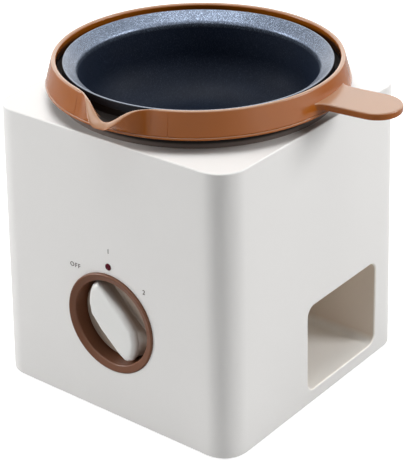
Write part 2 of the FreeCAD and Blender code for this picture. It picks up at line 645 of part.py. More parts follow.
def make_storage_pocket():
    """The liner of the storage pocket, with the flange that is screwed behind the right wall."""
    outer = body("PocketOuter")
    sketch = sketch_on(outer, "YZ_Plane", "PocketOuterSection", "pocket_end - pocket_wall")
    rounded_rectangle(sketch, ("(pocket_front - pocket_wall)", "(pocket_low - pocket_wall)"),
                      ("(pocket_back + pocket_wall)", "(pocket_high + pocket_wall)"),
                      "(pocket_corner + pocket_wall)")
    pad = outer.newObject("PartDesign::Pad", "PocketOuterPad")
    pad.Profile = sketch
    bind(pad, Length="pocket_face - pocket_end + pocket_wall")
    flange = block("pocket_wall", "pocket_back - pocket_front + 2 * pocket_flange",
                   "pocket_high - pocket_low + pocket_flange + pocket_wall", "pocket_face - pocket_wall",
                   "pocket_front - pocket_flange", "pocket_low - pocket_wall")
    holes = [cylinder("screw_radius + fit", "2 * pocket_wall", "pocket_face - 1.5 * pocket_wall", y, z,
                      TO_RIGHT) for y, z in pocket_screw_places()]
    return cut(fused([outer, flange], "PocketBlank"), [pocket_void] + holes, "StoragePocket")


def on_knob_axis(owner):
    """Moves a body that is turned about its own Y axis to the knob's axis."""
    return place(owner, "knob_x", "0", KNOB_Z)


def make_bezel():
    """The dished ring around the knob, which passes through the panel."""
    owner = body("Bezel")
    turned = revolve(owner, [("bezel_radius", "bezel_face"), ("bezel_radius", "bezel_face + bezel_lip"),
                             ("cup_radius", "bezel_face + bezel_lip"), ("cup_radius", CUP_END),
                             ("bushing_radius + running_fit", CUP_END),
                             ("bushing_radius + running_fit", "bezel_face + dish_depth"),
                             ("dish_end_radius", "bezel_face + dish_depth"), ("dish_radius", "bezel_face")],
                     "BezelTurned", "XY_Plane")
    round_edges(owner, turned, "bezel_round", ring_at("bezel_face", "y"), "BezelEdges")
    return on_knob_axis(owner)


def make_knob():
    """The knob: a sunk disc with a skirt and a hub, and the raised grip across it."""
    owner = body("Knob")
    hub_end = f"{DISC} + hub_length"
    disc_back = f"{DISC} + knob_disc"
    skirt_end = f"{DISC} + knob_skirt"
    revolve(owner, [("0", DISC), ("knob_radius", DISC), ("knob_radius", skirt_end),
                    ("knob_radius - knob_wall", skirt_end), ("knob_radius - knob_wall", disc_back),
                    ("hub_radius", disc_back), ("hub_radius", hub_end), ("0", hub_end)],
            "KnobDisc", "XY_Plane")
    sketch = sketch_on(owner, "XZ_Plane", "GripOutline", f"-{DISC}")
    grip_outline(sketch)
    grip = owner.newObject("PartDesign::Pad", "Grip")
    grip.Profile = sketch
    bind(grip, Length="knob_sink")
    bore_sketch = sketch_on(owner, "XY_Plane", "BoreProfile")
    rectangle(bore_sketch, ("0", "bezel_face + shaft_front"), ("shaft_radius", hub_end))
    bore = owner.newObject("PartDesign::Groove", "Bore")
    bore.Profile = bore_sketch
    bore.ReferenceAxis = (bore_sketch, ["V_Axis"])
    bore.Angle = 360
    on_knob_axis(owner)
    owner.Placement = Placement(Vector(), Rotation(Vector(0, -1, 0), 40))
    owner.setExpression("Placement.Rotation.Angle", tied("off_angle"))
    return owner


def grip_outline(sketch):
    """The grip's face: two tips, each joined to the other by a straight and a curved side."""
    tip = ("grip_tip_x", "grip_tip_z")
    belly = ("grip_belly_x", "-grip_belly_z")
    far_tip = ("-grip_tip_x", "-grip_tip_z")
    far_belly = ("-grip_belly_x", "grip_belly_z")
    for start, end, last in ((tip, belly, far_tip), (far_tip, far_belly, tip)):
        sketch.addGeometry(Part.LineSegment(at(start), at(end)), False)
        centre, radius = arc_centre(at(end), at(last), value("grip_curve"))
        first_angle = math.atan2(at(last).y - centre.y, at(last).x - centre.x)
        last_angle = math.atan2(at(end).y - centre.y, at(end).x - centre.x)
        circle = Part.Circle(centre, Vector(0, 0, 1), radius)
        sketch.addGeometry(Part.ArcOfCircle(circle, first_angle, last_angle), False)
    for edge, start, end in ((0, tip, belly), (2, far_tip, far_belly)):
        fix_point(sketch, edge, 1, start)
        fix_point(sketch, edge, 2, end)
        sketch.addConstraint(Sketcher.Constraint("Coincident", edge, 2, edge + 1, 2))
        sketch.addConstraint(Sketcher.Constraint("Coincident", edge + 1, 1, (edge + 2) % 4, 1))
        fix(sketch, "Radius", edge + 1, "grip_curve")


def arc_centre(start, end, radius):
    """The centre of an arc that bulges away from the origin between two points."""
    middle = (start + end) * 0.5
    half = (end - start).Length / 2
    across = Vector(end.y - start.y, start.x - end.x, 0).normalize()
    if across.dot(middle) > 0:
        across = across * -1
    return middle + across * math.sqrt(radius ** 2 - half ** 2), radius


def make_switch():
    """The rotary switch behind the bezel, with its bushing and blades."""
    half = "switch_width / 2"
    bushing_front = f"{CUP_END} - bushing_length"
    case = block("switch_width", "switch_depth", "switch_width", f"knob_x - {half}", CUP_END,
                 f"{KNOB_Z} - {half}")
    bushing = cylinder("bushing_radius", "bushing_length", "knob_x", bushing_front, KNOB_Z, TO_BACK)
    blades = []
    for step in ("-1", "0", "1"):
        middle = f"knob_x + {step} * switch_blade_gap"
        blades.append(block("blade_width", "blade_length", "blade_thickness", f"{middle} - blade_width / 2",
                            SWITCH_BACK, f"{KNOB_Z} - blade_thickness / 2"))
    bore = cylinder("shaft_radius + running_fit", "bushing_length + shaft_inside + fit", "knob_x",
                    bushing_front, KNOB_Z, TO_BACK)
    return cut(fused([case, bushing] + blades, "SwitchBody"), [bore], "RotarySwitch")


def make_switch_nut():
    """The nut that clamps the switch to the bezel's floor."""
    front = "bezel_face + dish_depth - nut_height"
    nut = hexagon("nut_radius", "nut_height", "knob_x", front, KNOB_Z, TO_BACK)
    thread = cylinder("bushing_radius", "nut_height", "knob_x", front, KNOB_Z, TO_BACK)
    return cut(nut, [thread], "SwitchNut")


def make_ring_nut():
    """The threaded ring that pulls the bezel against the panel."""
    where = ("ring_nut_height", "knob_x", "panel_face", KNOB_Z, TO_BACK)
    ring = cylinder("ring_nut_radius", *where)
    return cut(ring, [cylinder("cup_radius + running_fit", *where)], "RingNut")


def make_lens():
    """The indicator's lens, with a flange behind the panel."""
    owner = body("Lens")
    flange = "lens_back - lens_flange_height"
    revolve(owner, [("0", "lens_face"), ("lens_radius - lens_edge", "lens_face"),
                    ("lens_radius", "lens_face + lens_edge"), ("lens_radius", flange),
                    ("lens_flange", flange), ("lens_flange", "lens_back"), ("0", "lens_back")],
            "LensTurned", "XY_Plane")
    return place(owner, "lens_x", "0", LENS_Z)


def make_lamp_holder():
    """The sleeve that holds lamp and lens in the boss behind the panel."""
    owner = body("LampHolder")
    front = "lens_back - lens_flange_height"
    revolve(owner, [("lens_flange + running_fit", front), ("holder_radius", front),
                    ("holder_radius", "holder_back"), ("lamp_radius", "holder_back"),
                    ("lamp_radius", "lens_back"), ("lens_flange + running_fit", "lens_back")],
            "LampHolderTurned", "XY_Plane")
    return place(owner, "lens_x", "0", LENS_Z)


def terminal_places():
    """The three terminals of the block, along Y."""
    return [f"block_y + block_length * {share} / 6" for share in (1, 3, 5)]


def make_terminal_block():
    """The block on the base plate that joins the mains to the internal leads."""
    case = block("block_width", "block_length", "block_height", "block_x", "block_y", BASE_HIGH)
    wells = [cylinder("screw_head", "block_height", "block_x + block_width / 4", y,
                      f"{BASE_HIGH} + block_height / 2") for y in terminal_places()]
    return cut(case, wells, "TerminalBlock")


def make_gland():
    """The cord's inlet in the rear wall."""
    flange = cylinder("gland_flange_radius", "gland_flange", "gland_x", "gland_seat", GLAND_Z, TO_BACK)
    inner_end = "gland_seat - gland_inside"
    tube = cylinder("gland_body_radius", "gland_inside", "gland_x", inner_end, GLAND_Z, TO_BACK)
    bore = cylinder("gland_bore", "gland_inside + gland_flange", "gland_x", inner_end, GLAND_Z, TO_BACK)
    return cut(fused([flange, tube], "GlandBody"), [bore], "CordGland")


def make_gland_nut():
    """The nut inside the rear wall that holds the gland."""
    where = ("gland_nut_height", "gland_x", "gland_pad - gland_nut_height", GLAND_Z, TO_BACK)
    nut = hexagon("gland_nut_radius", *where)
    return cut(nut, [cylinder("gland_body_radius + running_fit", *where)], "GlandNut")


def section_with_nose(sketch, radius, tip_reach, tip_half):
    """A circle about the origin, drawn out to a rounded nose towards -Y between the spout's seams."""
    seam = (f"{radius} * sin(spout_half_angle)", f"-{radius} * cos(spout_half_angle)")
    far_seam = (f"-{radius} * sin(spout_half_angle)", seam[1])
    tip = (tip_half, f"-({tip_reach} - {tip_half} * 0.55)")
    far_tip = (f"-{tip_half}", tip[1])
    half_angle = math.radians(value("spout_half_angle"))
    ring = Part.Circle(Vector(0, 0, 0), Vector(0, 0, 1), value(radius))
    sketch.addGeometry(Part.ArcOfCircle(ring, half_angle - math.pi / 2, 1.5 * math.pi - half_angle), False)
    sketch.addGeometry(Part.LineSegment(at(far_seam), at(far_tip)), False)
    sketch.addGeometry(Part.Arc(at(far_tip), Vector(0, -value(tip_reach), 0), at(tip)), False)
    sketch.addGeometry(Part.LineSegment(at(tip), at(seam)), False)
    sketch.addConstraint(Sketcher.Constraint("Coincident", 0, 3, -1, 1))
    fix(sketch, "Radius", 0, radius)
    fix(sketch, "DistanceX", -1, 1, 0, 1, seam[0])
    fix(sketch, "DistanceX", -1, 1, 0, 2, far_seam[0])
    sketch.addConstraint(Sketcher.Constraint("Coincident", 0, 2, 1, 1))
    fix_point(sketch, 1, 2, far_tip)
    sketch.addConstraint(Sketcher.Constraint("Coincident", 3, 2, 0, 1))
    fix_point(sketch, 3, 1, tip)
    sketch.addConstraint(Sketcher.Constraint("Coincident", 1, 2, 2, 1))
    sketch.addConstraint(Sketcher.Constraint("Coincident", 2, 2, 3, 1))
    rise = f"({tip_half} * 0.55)"
    fix(sketch, "Radius", 2, f"({tip_half} ^ 2 + {rise} ^ 2) / (2 * {rise})")


def nosed_loft(owner, kind, name, inset):
    """The collar's wall surface from its lower edge to its rim, set in by a wall or not at all."""
    foot_reach = f"(collar_foot_radius - {inset})"
    rim_reach = f"(nose_rim_reach - 1.4 * {inset})"
    levels = [(COLLAR_FOOT, foot_reach, foot_reach, "nose_foot_half"),
              (RIM, f"(collar_rim_radius - {inset})", rim_reach, "nose_rim_half")]
    sections = []
    for level, radius, reach, half in levels:
        sketch = sketch_on(owner, "XY_Plane", f"{name}Section{len(sections)}", level)
        section_with_nose(sketch, radius, reach, half)
        sections.append(sketch)
    loft = owner.newObject(kind, name)
    loft.Profile = sections[0]
    loft.Sections = [sections[1]]
    loft.Ruled = True
    return loft


def make_collar():
    """The collar: a flared ring with a web, a rib for the pot, the spout and the handle."""
    owner = body("Collar")
    nosed_loft(owner, "PartDesign::AdditiveLoft", "CollarOutside", "0")
    doc.recompute()
    nosed_loft(owner, "PartDesign::SubtractiveLoft", "CollarInside", "collar_wall")
    doc.recompute()
    skirt_outer = "(seat_bore - 2 * fit)"
    rib_bore = "(throat_radius + pot_wall + ledge_step + fit)"
    web_reach = "(collar_foot_radius - collar_wall / 2)"
    skirt_inner = f"({skirt_outer} - skirt_thickness)"
    skirt_low = f"{WEB_LOW} - skirt_depth"
    rib_outer = f"({rib_bore} + rib_width)"
    revolve(owner, [(rib_bore, POT_SEAT), (rib_bore, WEB_HIGH), (skirt_inner, WEB_HIGH),
                    (skirt_inner, skirt_low), (skirt_outer, skirt_low), (skirt_outer, WEB_LOW),
                    (web_reach, WEB_LOW), (f"{web_reach} - collar_wall / 4", WEB_HIGH),
                    (rib_outer, WEB_HIGH), (rib_outer, POT_SEAT)], "CollarWeb")
    grip_sketch = sketch_on(owner, "XY_Plane", "HandleOutline", f"{RIM} - handle_drop - handle_thickness")
    handle_outline(grip_sketch)
    handle = owner.newObject("PartDesign::Pad", "Handle")
    handle.Profile = grip_sketch
    bind(handle, Length="handle_thickness")
    lip_sketch = sketch_on(owner, "XZ_Plane", "LipOutline")
    over = f"({RIM} + 3)"
    shoulder = f"({RIM} - lip_drop * 0.75)"
    low = f"({RIM} - lip_drop)"
    polygon(lip_sketch, [("-lip_mouth_half - 3", over), ("-lip_mouth_half - 3", f"{RIM} + 0.2"),
                         ("-lip_mouth_half + 1", f"{RIM} - lip_drop * 0.1"), ("-lip_half - 1.5", shoulder),
                         ("-lip_half / 2", low), ("lip_half / 2", low), ("lip_half + 1.5", shoulder),
                         ("lip_mouth_half - 1", f"{RIM} - lip_drop * 0.1"),
                         ("lip_mouth_half + 3", f"{RIM} + 0.2"), ("lip_mouth_half + 3", over)])
    lip = owner.newObject("PartDesign::Pocket", "Lip")
    lip.Profile = lip_sketch
    lip.Reversed = True
    bind(lip, Length="nose_rim_reach + collar_wall")
    owner.Placement = Placement(Vector(), Rotation(Vector(0, 0, 1), 5))
    owner.setExpression("Placement.Rotation.Angle", tied("collar_turn"))
    return owner


def handle_outline(sketch):
    """The flat handle towards +X: a flared root, straight sides and a half-round end."""
    half = "(handle_width / 2)"
    root = "(collar_rim_radius - collar_wall / 4)"
    centre = f"(handle_reach - {half})"
    flare_end = f"{root} + 1.3 * handle_flare"
    wide = f"({half} + handle_flare)"
    corners = [(centre, half), (flare_end, half), (root, wide), (root, f"-{wide}"), (flare_end, f"-{half}"),
               (centre, f"-{half}")]
    for here, there in zip(corners, corners[1:]):
        sketch.addGeometry(Part.LineSegment(at(here), at(there)), False)
    tip = Part.Circle(at((centre, "0")), Vector(0, 0, 1), value(half))
    sketch.addGeometry(Part.ArcOfCircle(tip, -math.pi / 2, math.pi / 2), False)
    for edge in range(4):
        sketch.addConstraint(Sketcher.Constraint("Coincident", edge, 2, edge + 1, 1))
    for edge in range(5):
        fix_point(sketch, edge, 1, corners[edge])
    fix_point(sketch, 4, 2, corners[5])
    sketch.addConstraint(Sketcher.Constraint("Coincident", 5, 1, 4, 2))
    sketch.addConstraint(Sketcher.Constraint("Coincident", 5, 2, 0, 1))
    fix(sketch, "DistanceX", -1, 1, 5, 3, centre)


def make_pot():
    """The bowl, with its sloped rim, a ledge that rests on the collar's rib and a flat base."""
    owner = body("Pot")
    under_throat = f"({POT_RIM} - throat_drop)"
    ledge_radius = "throat_radius + pot_wall + ledge_step"
    turned = revolve(owner, [("0", POT_FLOOR), ("pot_floor_radius", POT_FLOOR),
                             ("throat_radius", under_throat), ("pot_rim_radius - pot_lip", POT_RIM),
                             ("pot_rim_radius", POT_RIM), ("pot_rim_radius", POT_SEAT),
                             (ledge_radius, POT_SEAT),
                             ("throat_radius + pot_wall", f"{POT_SEAT} - 1.2 * ledge_step"),
                             ("pot_floor_radius + pot_wall", POT_UNDER), ("0", POT_UNDER)], "PotTurned")
    inner = round_edges(owner, turned, "pot_curve", ring_at(POT_FLOOR, "z"), "PotInnerCurve")
    round_edges(owner, inner, "pot_curve + pot_wall", ring_at(POT_UNDER, "z"), "PotOuterCurve")
    return owner


def lead(points):
    """A round insulated lead through the given places, with a tangent arc at each turn."""
    route = [Vector(*(value(str(number)) for number in point)) for point in points]
    edges = []
    here = route[0]
    for before, corner, after in zip(route, route[1:], route[2:]):
        arriving, leaving = corner - before, after - corner
        turn = arriving.getAngle(leaving)
        run = 0.45 * min(arriving.Length, leaving.Length)
        start = corner - arriving.normalize() * run
        end = corner + leaving.normalize() * run
        inwards = (leaving - arriving).normalize()
        radius = run / math.tan(turn / 2)
        centre = corner + inwards * (radius / math.cos(turn / 2))
        edges.append(Part.LineSegment(here, start).toShape())
        edges.append(Part.Arc(start, centre - inwards * radius, end).toShape())
        here = end
    edges.append(Part.LineSegment(here, route[-1]).toShape())
    path = Part.Wire(edges)
    tube_radius = value("lead_radius")
    section = Part.Wire([Part.Circle(route[0], route[1] - route[0], tube_radius).toShape()])
    tube = path.makePipeShell([section], True, False)
    share = tube.Volume / (math.pi * tube_radius ** 2 * path.Length)
    print(f"lead: length {path.Length:.1f}, volume over section times length {share:.4f}")
    return tube


def make_leads():
    """The leads between terminal block, switch, thermostat, element, fuse and lamp."""
    blade_tip = f"{SWITCH_BACK} + blade_length"
    thermostat_tip = f"{PLATE_UNDER} - thermostat_height - blade_length"
    leg_x, leg_front = element_end("-1")
    leg_back = element_end("1")[1]
    leg_z = f"{PLATE_UNDER} - element_leg"
    in_x, out_x = "-thermostat_radius / 2", "thermostat_radius / 2"
    fuse_left, fuse_right = "-fuse_length / 2", "fuse_length / 2"
    left_blade, right_blade = "knob_x - switch_blade_gap", "knob_x + switch_blade_gap"
    block_z = f"{BASE_HIGH} + block_height / 2"
    block_top = f"{BASE_HIGH} + block_height"
    entry, far_entry = "block_x + block_width * 0.75", "block_x + block_width / 4"
    lamp_back = "lens_back + lamp_length"
    return {
        "live_lead": [(entry, "block_y", block_z), (entry, 4, block_z), (-54, -18, 34), (-38, -24, 52),
                      (-18, -22, KNOB_Z), (left_blade, -19, KNOB_Z), (left_blade, blade_tip, KNOB_Z)],
        "switched_lead": [("knob_x", blade_tip, KNOB_Z), ("knob_x", -22, KNOB_Z), (3, -18, 74),
                          (out_x, -6, 86), (out_x, 0, 96), (out_x, 0, thermostat_tip)],
        "heater_lead": [(in_x, 0, thermostat_tip), (in_x, 0, 95), (-12, -5, 88), (-28, -11, 85),
                        (leg_x, leg_front, 89), (leg_x, leg_front, leg_z)],
        "fuse_lead": [(fuse_left, "fuse_y", FUSE_Z), (-14, "fuse_y", FUSE_Z), (-17, 21, 106), (-20, 18, 92),
                      (-30, 14, 87), (leg_x, leg_back, 90), (leg_x, leg_back, leg_z)],
        "neutral_lead": [(fuse_right, "fuse_y", FUSE_Z), (14, "fuse_y", FUSE_Z), (17, 22, 104), (10, 28, 88),
                         (-12, 36, 78), (-40, 38, 72), (-58, 33, 54), (entry, 33, 36),
                         (entry, 33, block_top)],
        "lamp_live_lead": [("lens_x + 1.1", lamp_back, LENS_Z), ("lens_x + 1.1", -52, LENS_Z), (7, -38, 80),
                           (right_blade, -24, 72), (right_blade, -18, 59), (right_blade, -26, KNOB_Z),
                           (right_blade, blade_tip, KNOB_Z)],
        "lamp_neutral_lead": [("lens_x - 1.1", lamp_back, LENS_Z), ("lens_x - 1.1", -52, LENS_Z),
                              (-16, -44, 82), (-44, -42, 66), (-62, -32, 40), (-66, -8, 18),
                              (far_entry, 6, block_z), (far_entry, "block_y", block_z)],
    }


keep(make_housing(), "housing")
keep(make_base_plate(), "base_plate")
keep(make_feet(), "rubber_feet")
keep(fused([screw("plate_sheet + screw_bite", x, y, BASE_LOW) for x, y in four("post_hole")]), "base_screws")
keep(make_seat_ring(), "seat_ring")
keep(cut(cylinder("spigot_radius", "gasket", z=DECK), [cylinder("seat_bore", "gasket", z=DECK)]),
     "well_gasket")
keep(make_heating_well(), "heating_well")
keep(fused([screw("sheet + screw_bite", x, y, DECK_UNDER) for x, y in four("deck_hole / 2")]), "well_screws")
keep(make_heating_plate(), "heating_plate")
keep(make_heating_element(), "heating_element")
keep(make_heat_shield(), "heat_shield")
keep(make_spacers(), "shield_spacers")
stay_length = "shield_sheet + shield_gap + sheet + plate_flange - 0.8"
keep(fused([screw(stay_length, x, y, SHIELD_UNDER) for x, y in stay_places()]), "shield_screws")
keep(make_thermostat(), "thermostat")
keep(fused([screw("ear_sheet + screw_bite - 2", x, "0", f"{PLATE_UNDER} - ear_sheet")
            for x in ("-thermostat_ear", "thermostat_ear")]), "thermostat_screws")
keep(cylinder("fuse_radius", "fuse_length", "-fuse_length / 2", "fuse_y", FUSE_Z, TO_RIGHT), "thermal_fuse")
keep(make_fuse_clip(), "fuse_clip")
keep(screw("2 * fuse_radius + clip_sheet + screw_bite - 2", "0", CLIP_SCREW_Y,
           f"{PLATE_UNDER} - 2 * fuse_radius - clip_sheet"), "fuse_clip_screw")
keep(make_storage_pocket(), "storage_pocket")
keep(fused([screw("pocket_wall + pocket_bite", "pocket_face - pocket_wall", y, z, TO_RIGHT,
                  "pocket_screw_head") for y, z in pocket_screw_places()]), "pocket_screws")
keep(make_bezel(), "knob_bezel")
keep(make_ring_nut(), "bezel_ring_nut")
keep(make_switch(), "rotary_switch")
keep(make_switch_nut(), "switch_nut")
keep(make_lens(), "indicator_lens")
keep(cylinder("lamp_radius", "lamp_length", "lens_x", "lens_back", LENS_Z, TO_BACK), "indicator_lamp")
keep(make_lamp_holder(), "lamp_holder")
keep(make_terminal_block(), "terminal_block")
keep(fused([cylinder("screw_head", "block_height / 2 - 1", "block_x + block_width / 4", y,
                     f"{BASE_HIGH} + block_height / 2") for y in terminal_places()]), "terminal_screws")
keep(make_gland(), "cord_gland")
keep(make_gland_nut(), "gland_nut")
keep(make_knob(), "knob")
shaft_length = f"{CUP_END} + shaft_inside - bezel_face - shaft_front"
keep(cylinder("shaft_radius", shaft_length, "knob_x", "bezel_face + shaft_front", KNOB_Z, TO_BACK),
     "switch_shaft")
keep(make_collar(), "collar")
keep(make_pot(), "pot")
for name, route in make_leads().items():
    tube = doc.addObject("Part::Feature", name.title().replace("_", ""))
    tube.Shape = lead(route)
    tube.Placement = Placement()
    keep(tube, name)

doc.recompute()
for item in doc.Objects:
    if "Invalid" in item.State or "Error" in item.State:
        raise RuntimeError(f"{item.Name} ({item.Label}) failed: {item.State}")
os.makedirs("parts", exist_ok=True)
for item in pieces:
    if item.Shape.isNull() or not item.Shape.isValid():
        raise RuntimeError(f"{item.Label} has no valid shape")
for item in pieces:
    item.Shape.exportStep(f"parts/{item.Label}.step")
    box = item.Shape.BoundBox
    print(f"{item.Label}: {len(item.Shape.Solids)} solids, {item.Shape.Volume:.0f} mm3, x {box.XMin:.1f} "
          f"{box.XMax:.1f}, y {box.YMin:.1f} {box.YMax:.1f}, z {box.ZMin:.1f} {box.ZMax:.1f}")
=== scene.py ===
import logging
import math
from collections.abc import Iterable, Sequence
from dataclasses import dataclass, field, fields
from enum import Enum

import bmesh
import bpy
from mathutils import Matrix, Vector


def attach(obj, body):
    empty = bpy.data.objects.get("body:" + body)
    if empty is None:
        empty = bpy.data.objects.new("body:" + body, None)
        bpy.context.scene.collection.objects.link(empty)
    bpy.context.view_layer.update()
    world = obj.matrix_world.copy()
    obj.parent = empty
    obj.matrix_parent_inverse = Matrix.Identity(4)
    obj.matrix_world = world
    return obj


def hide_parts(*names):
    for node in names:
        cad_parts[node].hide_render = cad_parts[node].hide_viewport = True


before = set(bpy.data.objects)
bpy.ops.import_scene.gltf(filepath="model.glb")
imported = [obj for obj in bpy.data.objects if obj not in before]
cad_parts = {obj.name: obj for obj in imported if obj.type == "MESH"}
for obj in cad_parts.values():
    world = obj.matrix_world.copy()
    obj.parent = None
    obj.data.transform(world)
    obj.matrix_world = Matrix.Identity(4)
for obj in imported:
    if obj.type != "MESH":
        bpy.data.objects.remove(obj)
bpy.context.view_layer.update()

# Sizes are millimetres, and MM turns them into the frame's metres. The studio's places and the heights in
# materials are metres. The origin is the middle of the footprint on the table, X points right, Y to the back
# and Z up.
MM = 0.001
DOWN = (0.0, 0.0, -1.0)
CORNERS = ((-1, -1), (-1, 1), (1, -1), (1, 1))
SAME_POINT = 0.005  # millimetres
WELD = 1e-7  # metres
LOG = logging.getLogger("melting_pot")
Point2 = tuple[float, float]
Point3 = tuple[float, float, float]
Colour = tuple[float, float, float]
Mesh = bpy.types.Mesh
Node = bpy.types.Node
Socket = bpy.types.NodeSocket


class Body(Enum):
    """The bodies that the pieces ride on."""

    BASE = "base"
    KNOB = "knob"
    COLLAR = "collar"
    POT = "pot"


class Slot(Enum):
    """The record's material slots."""

    HOUSING = "housing_white"
    CARAMEL = "caramel_plastic"
    BEZEL = "bezel_brown"
    NECK = "neck_brown"
    POT = "pot_coating"
    KNOB = "knob_white"
    LINER = "liner_beige"
    DARK = "dark_plastic"
    BASE = "base_grey"
    RUBBER = "foot_rubber"
    SILICONE = "silicone"
    SHEET = "sheet_steel"
    CAST = "cast_aluminium"
    ZINC = "zinc_steel"
    LENS = "red_lens"
    GLASS = "lamp_glass"
    SLEEVE = "lead_sleeve"
    TERMINAL = "terminal_white"


# Shader groups


def socket_group(name: str, inputs: dict[str, float | Colour], outputs: dict[str, str]) -> bpy.types.NodeTree:
    """Makes an empty shader group with named sockets.

    Args:
        name: The group's name.
        inputs: Each input's name and first value, a number or a colour.
        outputs: Each output's name and socket type.

    Returns:
        The group, with its input and output nodes in place.
    """
    group = bpy.data.node_groups.new(name, "ShaderNodeTree")
    for label, start in inputs.items():
        kind = "NodeSocketFloat" if isinstance(start, (int, float)) else "NodeSocketColor"
        socket = group.interface.new_socket(name=label, in_out="INPUT", socket_type=kind)
        socket.default_value = start if kind == "NodeSocketFloat" else (*start, 1)
    for label, kind in outputs.items():
        group.interface.new_socket(name=label, in_out="OUTPUT", socket_type=kind)
    group.nodes.new("NodeGroupInput").name = "In"
    group.nodes.new("NodeGroupOutput").name = "Out"
    return group


@dataclass
class Wiring:
    """Adds nodes to a tree and links them in one call each."""

    tree: bpy.types.NodeTree

    def feed(self, node: Node, **inputs: object) -> None:
        """Links sockets to a node's inputs, or sets the inputs to values.

        Args:
            node: The node.
            inputs: Sockets or values, by the input's name with _ for a blank, or as i0, i1 by number.
        """
        for name, given in inputs.items():
            key = int(name[1:]) if name[0] == "i" and name[1:].isdigit() else name.replace("_", " ")
            if isinstance(given, Socket):
                self.tree.links.new(given, node.inputs[key])
            else:
                node.inputs[key].default_value = given

    def add(self, kind: str, settings: dict[str, object] | None = None, **inputs: object) -> Node:
        """Adds a node.

        Args:
            kind: The node's type name.
            settings: Properties of the node itself.
            inputs: What its inputs are fed.

        Returns:
            The node.
        """
        node = self.tree.nodes.new(kind)
        for name, setting in (settings or {}).items():
            setattr(node, name, setting)
        self.feed(node, **inputs)
        return node

    def math(self, operation: str, first: object, second: object = 0.0, third: object = 0.0) -> Socket:
        """Adds a Math node and returns its result."""
        return self.add("ShaderNodeMath", {"operation": operation}, i0=first, i1=second, i2=third).outputs[0]

    def mix(self, share: object, first: object, second: object, blend: str = "MIX") -> Socket:
        """Adds a colour Mix node and returns its result."""
        settings = {"data_type": "RGBA", "blend_type": blend}
        return self.add("ShaderNodeMix", settings, i0=share, i6=first, i7=second).outputs[2]

    def spread(self, value: object, low: float, high: float, new_low: object, new_high: object) -> Socket:
        """Maps a range of values to another and returns the result."""
        return self.add("ShaderNodeMapRange", i0=value, i1=low, i2=high, i3=new_low, i4=new_high).outputs[0]

    def fade(self, value: Socket, span: Point2, first: Colour, second: Colour) -> Socket:
        """Goes from one colour to another as a value crosses a span."""
        return self.mix(self.spread(value, *span, 0.0, 1.0), (*first, 1), (*second, 1))

    def shade(self, colour: object, tone: Socket) -> Socket:
        """Multiplies a colour by a grey value."""
        grey = self.add("ShaderNodeCombineColor", i0=tone, i1=tone, i2=tone).outputs[0]
        return self.mix(1.0, colour, grey, "MULTIPLY")

    def place(self) -> Socket:
        """The point's place in the frame, in metres."""
        return self.add("ShaderNodeTexCoord").outputs["Object"]

    def along(self, vector: Socket, axis: int) -> Socket:
        """One coordinate of a vector."""
        return self.add("ShaderNodeSeparateXYZ", i0=vector).outputs[axis]

    def noise(self, place: Socket, scale: object, detail: float) -> Socket:
        """Adds a Noise texture, whose values lie about NOISE_MIDDLE and mostly in NOISE_SPAN."""
        return self.add("ShaderNodeTexNoise", Vector=place, Scale=scale, Detail=detail).outputs[0]


NOISE_MIDDLE = 0.5
NOISE_SPAN = (0.3, 0.7)


def moulded_skin_group() -> bpy.types.NodeTree:
    """The skin of moulded plastic: slow drift of tone, uneven gloss and a fine grain.

    Returns:
        The group, which puts out a colour, a roughness and a height.
    """
    group = socket_group(
        "moulded_skin",
        {"Colour": (0.8, 0.8, 0.8), "Drift": 0.04, "Grain": 2600.0, "Roughness": 0.4, "Gloss Drift": 0.06},
        {"Colour": "NodeSocketColor", "Roughness": "NodeSocketFloat", "Height": "NodeSocketFloat"})
    wire = Wiring(group)
    source = group.nodes["In"].outputs
    place = wire.place()
    slow = wire.math("SUBTRACT", wire.noise(place, scale=18.0, detail=3.0), NOISE_MIDDLE)
    cloud = wire.math("SUBTRACT", wire.noise(place, scale=140.0, detail=4.0), NOISE_MIDDLE)
    tone = wire.math("MULTIPLY_ADD", slow, source["Drift"], 1.0)
    gloss = wire.math("ADD", source["Roughness"], wire.math("MULTIPLY", cloud, source["Gloss Drift"]))
    wire.feed(group.nodes["Out"], Colour=wire.shade(source["Colour"], tone), Roughness=gloss,
              Height=wire.noise(place, scale=source["Grain"], detail=2.0))
    return group


def flecks_group() -> bpy.types.NodeTree:
    """Scattered flecks, each a small cell that is either there or not.

    Returns:
        The group, which puts out a mask and the height of the flecks.
    """
    group = socket_group("flecks", {"Scale": 1500.0, "Share": 0.1, "Size": 0.3},
                         {"Mask": "NodeSocketFloat", "Height": "NodeSocketFloat"})
    wire = Wiring(group)
    source = group.nodes["In"].outputs
    cells = wire.add("ShaderNodeTexVoronoi", Vector=wire.place(), Scale=source["Scale"]).outputs
    near = wire.math("LESS_THAN", cells["Distance"], source["Size"])
    draw = wire.add("ShaderNodeSeparateColor", i0=cells["Color"]).outputs[0]
    mask = wire.math("MULTIPLY", near, wire.math("LESS_THAN", draw, source["Share"]))
    wire.feed(group.nodes["Out"], Mask=mask, Height=wire.math("MULTIPLY", mask, cells["Distance"]))
    return group


